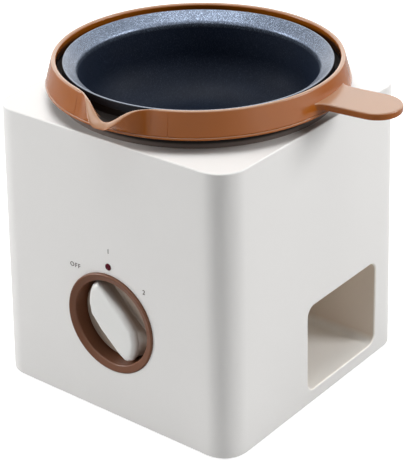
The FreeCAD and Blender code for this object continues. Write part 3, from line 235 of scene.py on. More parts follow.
def rubbed_group() -> bpy.types.NodeTree:
    """Fine rubbing marks in rings about the upright axis, as turning and wiping leave.

    Returns:
        The group, which puts out a mask and a height.
    """
    group = socket_group("rubbed", {"Pitch": 900.0, "Waver": 0.5},
                         {"Mask": "NodeSocketFloat", "Height": "NodeSocketFloat"})
    wire = Wiring(group)
    source = group.nodes["In"].outputs
    place = wire.place()
    x, y, z = wire.add("ShaderNodeSeparateXYZ", i0=place).outputs
    flat = wire.add("ShaderNodeCombineXYZ", i0=x, i1=y, i2=0.0).outputs[0]
    radius = wire.add("ShaderNodeVectorMath", {"operation": "LENGTH"}, i0=flat).outputs["Value"]
    climb = wire.math("MULTIPLY", z, 0.3)
    ringed = wire.add("ShaderNodeCombineXYZ", i0=radius, i1=climb, i2=0.0).outputs[0]
    fine = wire.noise(ringed, scale=source["Pitch"], detail=3.0)
    broad = wire.noise(place, scale=60.0, detail=3.0)
    mask = wire.math("MULTIPLY", fine, wire.spread(broad, *NOISE_SPAN, source["Waver"], 1.0))
    wire.feed(group.nodes["Out"], Mask=mask, Height=fine)
    return group


# Finishes


def bare_material(name: str) -> tuple[bpy.types.Material, Wiring, Node]:
    """Makes a material with a Principled shader and an output.

    Args:
        name: The material's name.

    Returns:
        The material, the wiring of its tree and its shader node.
    """
    material = bpy.data.materials.new(name)
    material.use_nodes = True
    shader = material.node_tree.nodes["Principled BSDF"]
    return material, Wiring(material.node_tree), shader


def placed_group(wire: Wiring, name: str, **inputs: object) -> Node:
    """Places a shader group in a material with its own values."""
    return wire.add("ShaderNodeGroup", {"node_tree": bpy.data.node_groups[name]}, **inputs)


def bump(wire: Wiring, shader: Node, height: Socket, depth: float) -> None:
    """Feeds a height to the shader's normal through a Bump node of a depth in metres."""
    node = wire.add("ShaderNodeBump", Height=height, Strength=1.0, Distance=depth)
    wire.feed(shader, Normal=node.outputs[0])


def moulded(wire: Wiring, shader: Node, depth: float, **inputs: object) -> Node:
    """Covers a shader with the moulded skin.

    Args:
        wire: The wiring of the material's tree.
        shader: Its shader node.
        depth: The grain's depth, in metres.
        inputs: The group's own values.

    Returns:
        The group's node.
    """
    skin = placed_group(wire, "moulded_skin", **inputs)
    wire.feed(shader, Base_Color=skin.outputs["Colour"], Roughness=skin.outputs["Roughness"])
    bump(wire, shader, skin.outputs["Height"], depth)
    return skin


@dataclass(frozen=True)
class Plastic:
    """A moulded plastic, rubber or ink, with another colour past a change, used as painted shade, or with a
    paler colour painted on what looks up, as painted light.
    """

    name: str
    colour: Colour
    roughness: float = 0.4
    drift: float = 0.04
    gloss_drift: float = 0.06
    grain: float = 2600.0
    grain_depth: float = 4e-6
    specular: float = 0.5
    inner_glow: float = 0.0
    glow_reach: Point3 = (0.004, 0.0025, 0.0015)
    # other is a painted shade colour that the surface turns to past the change along the axis.
    other: Colour | None = None
    axis: int = 2
    change: Point2 = (0.0, 0.0)
    # A paler colour painted on faces that look up, fading in as the normal's Z crosses the lean span: painted
    # light.
    dust: Colour | None = None
    dust_lean: Point2 = (0.25, 0.85)

    def material(self) -> bpy.types.Material:
        """Builds the material.

        Returns:
            The material.
        """
        material, wire, shader = bare_material(self.name)
        skin = moulded(wire, shader, self.grain_depth, Colour=(*self.colour, 1), Drift=self.drift,
                       Grain=self.grain, Roughness=self.roughness, Gloss_Drift=self.gloss_drift)
        # Painted shade: the colour turns to the other one past the change.
        if self.other:
            reach = wire.along(wire.place(), self.axis)
            wire.feed(skin, Colour=wire.fade(reach, self.change, self.colour, self.other))
        # Painted light: a paler colour on faces that look up.
        if self.dust:
            lean = wire.along(wire.add("ShaderNodeTexCoord").outputs["Normal"], 2)
            wire.feed(skin, Colour=wire.fade(lean, self.dust_lean, self.colour, self.dust))
        wire.feed(shader, Specular_IOR_Level=self.specular, Subsurface_Weight=self.inner_glow,
                  Subsurface_Radius=self.glow_reach)
        return material


@dataclass(frozen=True)
class Metal:
    """A bare metal with a few pits, and rubbing marks that change its tone and its gloss."""

    name: str
    colour: Colour
    roughness: float = 0.35
    pitch: float = 900.0
    pits: float = 0.04
    pit_colour: Colour = (0.1, 0.1, 0.1)
    depth: float = 3e-6
    rubbing: Point2 = (0.2, 0.7)
    tones: Point2 = (0.86, 1.06)
    dulling: Point2 = (0.08, -0.05)

    def material(self) -> bpy.types.Material:
        """Builds the material.

        Returns:
            The material.
        """
        material, wire, shader = bare_material(self.name)
        rubbed = placed_group(wire, "rubbed", Pitch=self.pitch)
        pits = placed_group(wire, "flecks", Scale=700.0, Share=self.pits, Size=0.35)
        tone = wire.spread(rubbed.outputs["Mask"], *self.rubbing, *self.tones)
        colour = wire.mix(pits.outputs["Mask"], wire.shade((*self.colour, 1), tone), (*self.pit_colour, 1))
        dull, bright = (self.roughness + change for change in self.dulling)
        rough = wire.spread(rubbed.outputs["Mask"], *self.rubbing, dull, bright)
        wire.feed(shader, Base_Color=colour, Roughness=rough, Metallic=1.0)
        bump(wire, shader, rubbed.outputs["Height"], self.depth)
        return material


@dataclass(frozen=True)
class Coating:
    """The non-stick coating: dark in the bowl, and above a height in metres lustrous with bright flecks,
    whose lighter colour and fuller flecks are a painted reflection on the rim and throat.
    """

    name: str
    colour: Colour
    lustre: Colour
    fleck: Colour
    change: Point2
    roughness: float = 0.34
    bowl_roughness: float = 0.16
    bowl_flecks: float = 0.08
    metallic: float = 0.7
    specular: float = 0.08
    depth: float = 5e-6
    rubbing: Point2 = (0.1, 0.7)
    tones: Point2 = (0.8, 1.2)
    dulling: Point2 = (0.06, -0.04)

    def material(self) -> bpy.types.Material:
        """Builds the material.

        Returns:
            The material.
        """
        material, wire, shader = bare_material(self.name)
        small = placed_group(wire, "flecks", Scale=4200.0, Share=0.26, Size=0.45).outputs
        large = placed_group(wire, "flecks", Scale=2100.0, Share=0.05, Size=0.34).outputs
        rubbed = placed_group(wire, "rubbed", Pitch=260.0, Waver=0.3).outputs
        # Painted reflection: from none below the change to full above it, this lightens the colour and shows
        # the flecks on the rim and throat.
        bright = wire.spread(wire.along(wire.place(), 2), *self.change, 0.0, 1.0)
        plain = wire.mix(bright, (*self.colour, 1), (*self.lustre, 1))
        base = wire.shade(plain, wire.spread(rubbed["Mask"], *self.rubbing, *self.tones))
        mask = wire.math("MAXIMUM", small["Mask"], large["Mask"])
        shown = wire.math("MULTIPLY", mask, wire.spread(bright, 0.0, 1.0, self.bowl_flecks, 1.0))
        dull, polished = (self.roughness + change for change in self.dulling)
        rough = wire.math("ADD", wire.spread(bright, 0.0, 1.0, self.bowl_roughness, 0.0),
                          wire.spread(rubbed["Mask"], *self.rubbing, dull, polished))
        wire.feed(shader, Base_Color=wire.mix(shown, base, (*self.fleck, 1)), Roughness=rough,
                  Metallic=wire.spread(bright, 0.0, 1.0, 0.0, self.metallic),
                  Specular_IOR_Level=self.specular)
        bump(wire, shader, wire.math("ADD", small["Height"], rubbed["Height"]), self.depth)
        return material


@dataclass(frozen=True)
class Lens:
    """A clear or tinted plastic or glass that light passes through."""

    name: str
    colour: Colour
    transmission: float
    roughness: float = 0.12
    drift: float = 0.3
    gloss_drift: float = 0.05
    grain: float = 1500.0
    grain_depth: float = 6e-6
    specular: float = 0.2

    def material(self) -> bpy.types.Material:
        """Builds the material.

        Returns:
            The material.
        """
        material, wire, shader = bare_material(self.name)
        moulded(wire, shader, self.grain_depth, Colour=(*self.colour, 1), Drift=self.drift, Grain=self.grain,
                Roughness=self.roughness, Gloss_Drift=self.gloss_drift)
        wire.feed(shader, Transmission_Weight=self.transmission, Specular_IOR_Level=self.specular)
        return material


FINISHES = {
    Slot.HOUSING: Plastic("housing_white", (0.80, 0.79, 0.775), roughness=0.4, drift=0.02, specular=0.35),
    # caramel_plastic's paler colour on faces that look up is a painted sheen and highlight on the handle's
    # top and the lip.
    Slot.CARAMEL: Plastic("caramel_plastic", (0.33, 0.088, 0.005), roughness=0.19, drift=0.12,
                          gloss_drift=0.1, specular=0.3, inner_glow=0.1, dust=(0.36, 0.185, 0.092)),
    Slot.BEZEL: Plastic("bezel_brown", (0.150, 0.058, 0.028), roughness=0.3, drift=0.12, specular=0.22),
    # neck_brown is near-black above 160.3 mm, a painted shadow under the collar's overhang, and taupe below
    # 159.2 mm. The collar's inside and its web take the near-black as painted shade.
    Slot.NECK: Plastic("neck_brown", (0.008, 0.006, 0.005), roughness=0.6, specular=0.1,
                       other=(0.16, 0.13, 0.115), change=(0.1603, 0.1592)),
    # pot_coating's lighter colour and flecks above 168.2 mm are a painted reflection on the rim and throat.
    Slot.POT: Coating("pot_coating", (0.004, 0.007, 0.015), lustre=(0.060, 0.072, 0.097),
                      fleck=(0.30, 0.37, 0.48), change=(0.1682, 0.1710)),
    # knob_white turns darker from -75.7 mm to -72.0 mm along Y, deeper in the dish: painted shade on the
    # grip's wall and the disc.
    Slot.KNOB: Plastic("knob_white", (0.80, 0.80, 0.78), roughness=0.34, drift=0.02, other=(0.34, 0.28, 0.23),
                       axis=1, change=(-0.0757, -0.0720)),
    # liner_beige's paler colour on faces that look up is painted light on the pocket's floor.
    Slot.LINER: Plastic("liner_beige", (0.76, 0.66, 0.56), roughness=0.5, drift=0.05,
                        dust=(0.95, 0.94, 0.91)),
    Slot.DARK: Plastic("dark_plastic", (0.03, 0.03, 0.03), roughness=0.5),
    Slot.BASE: Plastic("base_grey", (0.33, 0.33, 0.32), roughness=0.55, grain=1500.0, grain_depth=1e-5),
    Slot.RUBBER: Plastic("foot_rubber", (0.05, 0.05, 0.05), roughness=0.75, grain=1200.0, grain_depth=1.5e-5),
    Slot.SILICONE: Plastic("silicone", (0.5, 0.18, 0.1), roughness=0.6, inner_glow=0.2),
    Slot.SHEET: Metal("sheet_steel", (0.62, 0.62, 0.6), roughness=0.3),
    Slot.CAST: Metal("cast_aluminium", (0.72, 0.72, 0.72), roughness=0.38, pitch=700.0, pits=0.03,
                     depth=8e-6),
    Slot.ZINC: Metal("zinc_steel", (0.6, 0.6, 0.57), roughness=0.28),
    Slot.LENS: Lens("red_lens", (0.085, 0.001, 0.010), transmission=0.1, roughness=0.3, specular=0.06),
    Slot.GLASS: Lens("lamp_glass", (0.9, 0.55, 0.4), transmission=0.85),
    Slot.SLEEVE: Plastic("lead_sleeve", (0.75, 0.74, 0.7), roughness=0.6, grain=3000.0, grain_depth=3e-5),
    Slot.TERMINAL: Plastic("terminal_white", (0.78, 0.77, 0.72), roughness=0.5),
}
INK = Plastic("label_ink", (0.03, 0.015, 0.010), roughness=0.55)
# A pale colour for the storage opening's rounded lip: a painted highlight.
MOUTH_HIGHLIGHT = Plastic("mouth_cream", (0.93, 0.90, 0.83), roughness=0.4)
OUTSIDE = Plastic("pot_outside", (0.010, 0.012, 0.016), roughness=0.5, specular=0.2)
BARE_EDGE = Metal("bare_rim_edge", (0.11, 0.125, 0.15), roughness=0.4)

materials: dict[Slot, bpy.types.Material] = {}


# Mesh making


def rounded(corners: Sequence[Point3], closed: bool, steps: int = 6) -> list[Point2]:
    """Rounds the corners of a path.

    Args:
        corners: Each corner's two coordinates and the radius that rounds it.
        closed: Whether the path returns to its start.
        steps: How many runs an arc has.

    Returns:
        The points along the path.
    """
    points: list[Point2] = []
    last = len(corners) - 1
    for index, (across, along, radius) in enumerate(corners):
        if radius == 0 or (not closed and index in (0, last)):
            points.append((across, along))
            continue
        here = Vector((across, along))
        back = (Vector(corners[index - 1][:2]) - here).normalized()
        ahead = (Vector(corners[(index + 1) % len(corners)][:2]) - here).normalized()
        half = back.angle(ahead) / 2
        centre = here + (back + ahead).normalized() * (radius / math.sin(half))
        start = here + back * (radius / math.tan(half)) - centre
        end = here + ahead * (radius / math.tan(half)) - centre
        first = math.atan2(start.y, start.x)
        sweep = (math.atan2(end.y, end.x) - first + math.pi) % math.tau - math.pi
        for step in range(steps + 1):
            angle = first + sweep * step / steps
            points.append((centre.x + radius * math.cos(angle), centre.y + radius * math.sin(angle)))
    return [point for index, point in enumerate(points) if math.dist(point, points[index - 1]) > SAME_POINT]


def quarter(steps: int) -> list[float]:
    """The angles of a quarter turn in equal steps, both ends among them, in radians."""
    return [step * math.pi / (2 * steps) for step in range(steps + 1)]


def rings_mesh(name: str, rings: Sequence[Sequence[Point3]], closed: bool, caps: bool = False) -> Mesh:
    """Joins closed rings of equal length into a skin.

    Args:
        name: The mesh's name.
        rings: Points of each ring in millimetres, in the same order round.
        closed: Whether the last ring joins the first.
        caps: Whether the first and the last ring are filled.

    Returns:
        A mesh in metres with its faces pointing outwards.
    """
    work = bmesh.new()
    made = [[work.verts.new(Vector(point) * MM) for point in ring] for ring in rings]
    pairs = list(zip(made, made[1:])) + ([(made[-1], made[0])] if closed else [])
    for low, high in pairs:
        for index in range(len(low)):
            after = (index + 1) % len(low)
            work.faces.new((low[index], low[after], high[after], high[index]))
    if caps:
        work.faces.new(made[0])
        work.faces.new(made[-1])
    bmesh.ops.remove_doubles(work, verts=work.verts, dist=WELD)
    bmesh.ops.recalc_face_normals(work, faces=work.faces)
    if work.calc_volume(signed=True) < 0:
        bmesh.ops.reverse_faces(work, faces=work.faces)
    mesh = bpy.data.meshes.new(name)
    work.to_mesh(mesh)
    work.free()
    return mesh


def lathe(name: str, path: Sequence[Point2], closed: bool, turns: int = 192) -> Mesh:
    """Turns a path of radius and height about the upright axis.

    Args:
        name: The mesh's name.
        path: Radius and height of each point, in millimetres.
        closed: Whether the path is a loop, or else starts and ends on the axis.
        turns: How many steps go round.

    Returns:
        The turned mesh.
    """
    angles = [math.tau * step / turns for step in range(turns)]
    rings = [[(radius * math.cos(angle), radius * math.sin(angle), height) for angle in angles]
             for radius, height in path]
    return rings_mesh(name, rings, closed)


def box_outline(half_x: float, half_y: float, radius: float, centre: Point2 = (0.0, 0.0),
                corner_steps: int = 12, side_steps: int = 6) -> list[Point2]:
    """The outline of a rectangle with rounded corners, as points that go round in one sense.

    Args:
        half_x: Half its size along the first axis.
        half_y: Half its size along the second axis.
        radius: Its corners.
        centre: Its middle.
        corner_steps: How many runs a corner has.
        side_steps: How many runs a side has.

    Returns:
        The points.
    """
    points: list[Point2] = []
    middles = [(half_x - radius, half_y - radius), (radius - half_x, half_y - radius),
               (radius - half_x, radius - half_y), (half_x - radius, radius - half_y)]

    def at(x: float, y: float, angle: float) -> Point2:
        """The point at an angle round a corner's middle."""
        return centre[0] + x + radius * math.cos(angle), centre[1] + y + radius * math.sin(angle)

    for corner, (x, y) in enumerate(middles):
        points += [at(x, y, (corner + step / corner_steps) * math.pi / 2)
                   for step in range(corner_steps + 1)]
        start = Vector(points[-1])
        end = Vector(at(*middles[(corner + 1) % 4], (corner + 1) * math.pi / 2))
        points += [tuple(start.lerp(end, step / side_steps)) for step in range(1, side_steps)]
    return points


def facing(mesh: Mesh, place: Point3, heading: float) -> Mesh:
    """Sets a mesh that was turned about its own Z axis on a wall, with that axis pointing outwards.

    Args:
        mesh: The mesh.
        place: Where its own origin goes, in millimetres.
        heading: The wall, in degrees round from the front one: 0 is the front, 180 the rear.

    Returns:
        The same mesh.
    """
    basis = Matrix(((1, 0, 0), (0, 0, -1), (0, 1, 0))).to_4x4()
    turn = Matrix.Rotation(math.radians(heading), 4, "Z")
    mesh.transform(Matrix.Translation(Vector(place) * MM) @ turn @ basis)
    return mesh


def inset_outline(outline: Sequence[Point2], inset: float) -> list[Point2]:
    """Moves every point of a closed outline inwards, square to the outline.

    Args:
        outline: The outline's points, in either sense.
        inset: How far, in millimetres.

    Returns:
        The moved points.
    """
    area = sum(here[0] * there[1] - there[0] * here[1] for here, there in zip(outline, outline[1:]))
    side = 1 if area > 0 else -1
    moved = []
    for index, (x, y) in enumerate(outline):
        run = Vector(outline[(index + 1) % len(outline)]) - Vector(outline[index - 1])
        run.normalize()
        moved.append((x - side * run.y * inset, y + side * run.x * inset))
    return moved


def object_of(mesh: Mesh) -> bpy.types.Object:
    """Links an object that shows a mesh."""
    shown = bpy.data.objects.new(mesh.name, mesh)
    bpy.context.scene.collection.objects.link(shown)
    return shown


def plain_mesh(shown: bpy.types.Object, name: str) -> Mesh:
    """Takes an object's evaluated mesh and removes the object.

    Args:
        shown: An object with modifiers.
        name: The new mesh's name.

    Returns:
        A mesh with the modifiers' result in it.
    """
    graph = bpy.context.evaluated_depsgraph_get()
    mesh = bpy.data.meshes.new_from_object(shown.evaluated_get(graph))
    bpy.data.objects.remove(shown)
    mesh.name = name
    return mesh


def combined(mesh: Mesh, tools: Iterable[tuple[str, Mesh]]) -> Mesh:
    """Adds and cuts meshes one after another.

    Args:
        mesh: The mesh to start from.
        tools: Pairs of UNION or DIFFERENCE and a closed mesh.

    Returns:
        The resulting mesh.
    """
    name = mesh.name
    shown = object_of(mesh)
    helpers = []
    for operation, tool in tools:
        helper = object_of(tool)
        helpers.append(helper)
        step = shown.modifiers.new(operation.lower(), "BOOLEAN")
        step.operation = operation
        step.solver = "EXACT"
        step.object = helper
    result = plain_mesh(shown, name)
    for helper in helpers:
        bpy.data.objects.remove(helper)
    return result


def joined(name: str, meshes: Iterable[Mesh]) -> Mesh:
    """Puts several meshes into one.

    Args:
        name: The new mesh's name.
        meshes: The meshes.

    Returns:
        The new mesh.
    """
    work = bmesh.new()
    for mesh in meshes:
        work.from_mesh(mesh)
    mesh = bpy.data.meshes.new(name)
    work.to_mesh(mesh)
    work.free()
    return mesh


def settle(mesh: Mesh, slot: Slot, body: Body, replaces: Sequence[str] = (),
           finish: bpy.types.Material | None = None, sharp: float = 35.0) -> bpy.types.Object:
    """Shades a finished mesh, dresses it and hands it to its body.

    Args:
        mesh: The piece's mesh, in place.
        slot: The record's slot that it takes its finish from.
        body: The body that it rides on.
        replaces: The CAD nodes that it stands for.
        finish: Its material, where that isn't the slot's own.
        sharp: Degrees between two faces from which their edge is crisp.

    Returns:
        The piece.
    """
    mesh.shade_smooth()
    mesh.set_sharp_from_angle(angle=math.radians(sharp))
    name = mesh.name
    shown = object_of(mesh)
    weighted = shown.modifiers.new("weighted", "WEIGHTED_NORMAL")
    weighted.keep_sharp = True
    mesh = plain_mesh(shown, name)
    piece = object_of(mesh)
    piece.name = name
    mesh.materials.clear()
    mesh.materials.append(finish or materials[slot])
    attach(piece, body.value)
    if replaces:
        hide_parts(*replaces)
    LOG.info("%s: %d faces on %s", name, len(mesh.polygons), body.value)
    return piece


def dress(nodes: Iterable[str], slot: Slot) -> None:
    """Gives CAD nodes whose shape stays a finish.

    Args:
        nodes: The nodes' names.
        slot: The finish's slot.
    """
    for name in nodes:
        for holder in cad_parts[name].material_slots:
            holder.material = materials[slot]
        LOG.info("%s: dressed as %s", name, slot.value)


# Geometry Nodes

HEAD_SIDES = 48
SHANK_SIDES = 24
# The shank's middle as a share of its length, so that its start lies just inside the head.
SHANK_MIDDLE = -0.499


@dataclass(frozen=True)
class Fastener:
    """Sizes of a turned fastener or foot, in millimetres, from the surface that it sits on."""

    shank_length: float
    head_radius: float = 2.8
    head_height: float = 2.0
    chamfer: float = 0.5
    recess_radius: float = 1.2
    recess_depth: float = 1.2
    recess_sides: int = 6
    shank_radius: float = 1.5

    def settings(self) -> dict[str, float | int]:
        """The sizes in metres and the number of sides, by the names of the tree's inputs."""
        sizes = {item.name.replace("_", " ").title(): getattr(self, item.name) for item in fields(self)}
        return {name: size if isinstance(size, int) else size * MM for name, size in sizes.items()}


def fastener_tree() -> bpy.types.NodeTree:
    """Builds the tree that sets a fastener at every point: a head with a recess, and its shank.

    Returns:
        The tree, whose result is realized and has its material set.
    """
    tree = bpy.data.node_groups.new("turned_fasteners", "GeometryNodeTree")
    kinds = {"Points": "Geometry", "Aim": "Vector", "Finish": "Material"}
    for item in fields(Fastener):
        kinds[item.name.replace("_", " ").title()] = item.type.__name__.title()
    for label, kind in kinds.items():
        tree.interface.new_socket(name=label, in_out="INPUT", socket_type="NodeSocket" + kind)
    tree.interface.new_socket(name="Geometry", in_out="OUTPUT", socket_type="NodeSocketGeometry")
    wire = Wiring(tree)
    given = wire.add("NodeGroupInput").outputs

    def standing(mesh: Socket, height: object) -> Socket:
        """Moves a mesh up or down to a height."""
        place = wire.add("ShaderNodeCombineXYZ", Z=height).outputs[0]
        return wire.add("GeometryNodeTransform", Geometry=mesh, Translation=place).outputs[0]

    drum_height = wire.math("SUBTRACT", given["Head Height"], given["Chamfer"])
    drum = wire.add("GeometryNodeMeshCylinder", Vertices=HEAD_SIDES, Radius=given["Head Radius"],
                    Depth=drum_height)
    crown_radius = wire.math("SUBTRACT", given["Head Radius"], given["Chamfer"])
    crown = wire.add("GeometryNodeMeshCone", Vertices=HEAD_SIDES, Radius_Top=crown_radius,
                     Radius_Bottom=given["Head Radius"], Depth=given["Chamfer"])
    shank = wire.add("GeometryNodeMeshCylinder", Vertices=SHANK_SIDES, Radius=given["Shank Radius"],
                     Depth=given["Shank Length"])
    whole = wire.add("GeometryNodeMeshBoolean", {"operation": "UNION", "solver": "EXACT"})
    parts = (standing(drum.outputs["Mesh"], wire.math("MULTIPLY", drum_height, 0.5)),
             standing(crown.outputs["Mesh"], drum_height),
             standing(shank.outputs["Mesh"], wire.math("MULTIPLY", given["Shank Length"], SHANK_MIDDLE)))
    for part in parts:
        wire.feed(whole, Mesh_2=part)
    recess = wire.add("GeometryNodeMeshCylinder", Vertices=given["Recess Sides"],
                      Radius=given["Recess Radius"], Depth=wire.math("MULTIPLY", given["Recess Depth"], 2.0))
    recess = standing(recess.outputs["Mesh"], given["Head Height"])
    cut = wire.add("GeometryNodeMeshBoolean", {"operation": "DIFFERENCE", "solver": "EXACT"},
                   Mesh_1=whole.outputs["Mesh"], Mesh_2=recess)
    aim = wire.add("FunctionNodeAlignRotationToVector", {"axis": "Z"}, Vector=given["Aim"]).outputs[0]
    spread = wire.add("GeometryNodeInstanceOnPoints", Points=given["Points"], Instance=cut.outputs["Mesh"],
                      Rotation=aim)
    real = wire.add("GeometryNodeRealizeInstances", Geometry=spread.outputs[0])
    dressed = wire.add("GeometryNodeSetMaterial", Geometry=real.outputs[0], Material=given["Finish"])
    wire.add("NodeGroupOutput", i0=dressed.outputs[0])
    return tree


def fasteners(node: str, sizes: Fastener, half: float, height: float, slot: Slot) -> None:
    """Replaces a CAD node of four equal fasteners, heads down, by detailed ones.

    Args:
        node: The CAD node, whose name the piece takes too.
        sizes: The sizes of one.
        half: Half the distance between neighbours, in millimetres.
        height: Where the heads meet the surface over them, in millimetres.
        slot: Their material slot.
    """
    base = bpy.data.meshes.new(node + "_set")
    base.from_pydata([Vector((x * half, y * half, height)) * MM for x, y in CORNERS], [], [])
    shown = object_of(base)
    modifier = shown.modifiers.new("repeat", "NODES")
    modifier.node_group = bpy.data.node_groups.get("turned_fasteners") or fastener_tree()
    settings = {**sizes.settings(), "Aim": DOWN, "Finish": materials[slot]}
    for item in modifier.node_group.interface.items_tree:
        if item.in_out == "INPUT" and item.name in settings:
            modifier[item.identifier] = settings[item.name]
    settle(plain_mesh(shown, node + "_set"), slot, Body.BASE, [node])


# Sub-assemblies


@dataclass(frozen=True)
class Lamp:
    """An area light: its place and aim in metres, its size and its power."""

    name: str
    place: Point3
    aim: Point3
    size: float
    watts: float


@dataclass
class Studio:
    """The floor, the light and the camera."""

    floor_half: float = 3.0
    floor_height: float = -0.0002
    floor_white: float = 0.75
    floor_glow: float = 0.8
    sky: float = 0.14
    gloss_sky: float = 3.0
    gloss_dim: float = 1.4
    dim_side: Point3 = (0.624, -0.781, 0.0)
    dim_span: Point2 = (0.7, 0.95)
    lens: float = 128.66
    sensor: float = 36.0
    view_end: float = 20.0
    camera_place: Point3 = (0.487596, -0.610211, 0.486682)
    camera_right: Point3 = (0.786386, 0.617550, -0.015105)
    camera_up: Point3 = (-0.276921, 0.374277, 0.885004)
    lamps: tuple[Lamp, ...] = (
        Lamp("overhead", (-0.04, 0.0, 1.3), (0.0, 0.0, 0.1), 0.9, 9.9),
        Lamp("front_left", (-1.2, -0.86, 0.6), (0.0, 0.0, 0.08), 0.6, 14.2),
        Lamp("right_back", (1.15, 0.7, 0.75), (0.0, 0.0, 0.07), 0.7, 12.6),
    )

    def build(self) -> None:
        """Makes the camera, the floor, the sky and the lamps."""
        self.camera()
        self.floor()
        self.world()
        for lamp in self.lamps:
            self.light(lamp)
        bpy.context.scene.view_settings.view_transform = "Standard"

    def camera(self) -> None:
        """Places the camera as the photograph's."""
        data = bpy.data.cameras.new("camera")
        data.lens = self.lens
        data.sensor_width = self.sensor
        data.sensor_fit = "AUTO"
        data.clip_end = self.view_end
        shown = bpy.data.objects.new("camera", data)
        right, up = Vector(self.camera_right), Vector(self.camera_up)
        turn = Matrix((right, up, right.cross(up))).transposed().to_4x4()
        shown.matrix_world = Matrix.Translation(self.camera_place) @ turn
        bpy.context.scene.collection.objects.link(shown)
        bpy.context.scene.camera = shown

    def floor(self) -> None:
        """Lays a white table that keeps the object's shadow."""
        half, low = self.floor_half, self.floor_height
        mesh = bpy.data.meshes.new("floor")
        mesh.from_pydata([(-half, -half, low), (half, -half, low), (half, half, low), (-half, half, low)], [],
                         [(0, 1, 2, 3)])
        shown = object_of(mesh)
        material = bpy.data.materials.new("white_table")
        material.use_nodes = True
        tree = material.node_tree
        tree.nodes.remove(tree.nodes["Principled BSDF"])
        wire = Wiring(tree)
        matt = wire.add("ShaderNodeBsdfDiffuse", Color=(self.floor_white,) * 3 + (1,))
        seen = wire.add("ShaderNodeLightPath").outputs["Is Camera Ray"]
        glow = wire.add("ShaderNodeEmission", Strength=wire.math("MULTIPLY", seen, self.floor_glow))
        both = wire.add("ShaderNodeAddShader", i0=matt.outputs[0], i1=glow.outputs[0])
        wire.feed(tree.nodes["Material Output"], Surface=both.outputs[0])
        mesh.materials.append(material)

    def world(self) -> None:
        """Makes a plain sky that is seen as white, and dimmer in gloss to the front right."""
        world = bpy.data.worlds.new("plain_sky")
        world.use_nodes = True
        wire = Wiring(world.node_tree)
        path = wire.add("ShaderNodeLightPath").outputs
        seen = wire.math("MAXIMUM", path["Is Camera Ray"], path["Is Transmission Ray"])
        heading = wire.add("ShaderNodeTexCoord").outputs["Generated"]
        share = wire.add("ShaderNodeVectorMath", {"operation": "DOT_PRODUCT"}, i0=heading, i1=self.dim_side)
        gloss = wire.spread(share.outputs["Value"], *self.dim_span, self.gloss_sky, self.gloss_dim)
        lighting = wire.spread(path["Is Glossy Ray"], 0.0, 1.0, self.sky, gloss)
        strength = wire.spread(seen, 0.0, 1.0, lighting, 1.0)
        wire.feed(world.node_tree.nodes["Background"], Color=(1, 1, 1, 1), Strength=strength)
        bpy.context.scene.world = world

    def light(self, lamp: Lamp) -> None:
        """Hangs an area light.

        Args:
            lamp: Its values.
        """
        data = bpy.data.lights.new(lamp.name, "AREA")
        data.shape = "DISK"
        data.size = lamp.size
        data.energy = lamp.watts
        shown = bpy.data.objects.new(lamp.name, data)
        shown.location = lamp.place
        shown.rotation_euler = (Vector(lamp.aim) - Vector(lamp.place)).to_track_quat("-Z", "Y").to_euler()
        bpy.context.scene.collection.objects.link(shown)


@dataclass(frozen=True)
class Bars:
    """Upright round bars, or the bores in them, one at each corner of a square about the origin."""

    half: float
    radius: float
    low: float
    high: float

    def at(self, x: int, y: int) -> Mesh:
        """Makes one of the four.

        Args:
            x: The sign of its corner's X.
            y: The sign of its corner's Y.

        Returns:
            Its mesh, in place.
        """
        path = [(0, self.low), (self.radius, self.low), (self.radius, self.high), (0, self.high)]
        mesh = lathe("bar", path, closed=False, turns=40)
        mesh.transform(Matrix.Translation(Vector((x * self.half, y * self.half, 0)) * MM))
        return mesh


@dataclass(frozen=True)
class WallHole:
    """A turned hole in the front wall, of heading 0, or the rear one, of heading 180.

    Its steps are a radius and the span along the axis that it holds for, outwards from its place.
    """

    place: Point3
    heading: float
    steps: tuple[Point3, ...]

    def cutter(self) -> Mesh:
        """The bar that cuts it."""
        path = [(radius, level) for radius, start, end in self.steps for level in (start, end)]
        path = [(0, path[0][1]), *path, (0, path[-1][1])]
        return facing(lathe("cutter", path, closed=False, turns=128), self.place, self.heading)


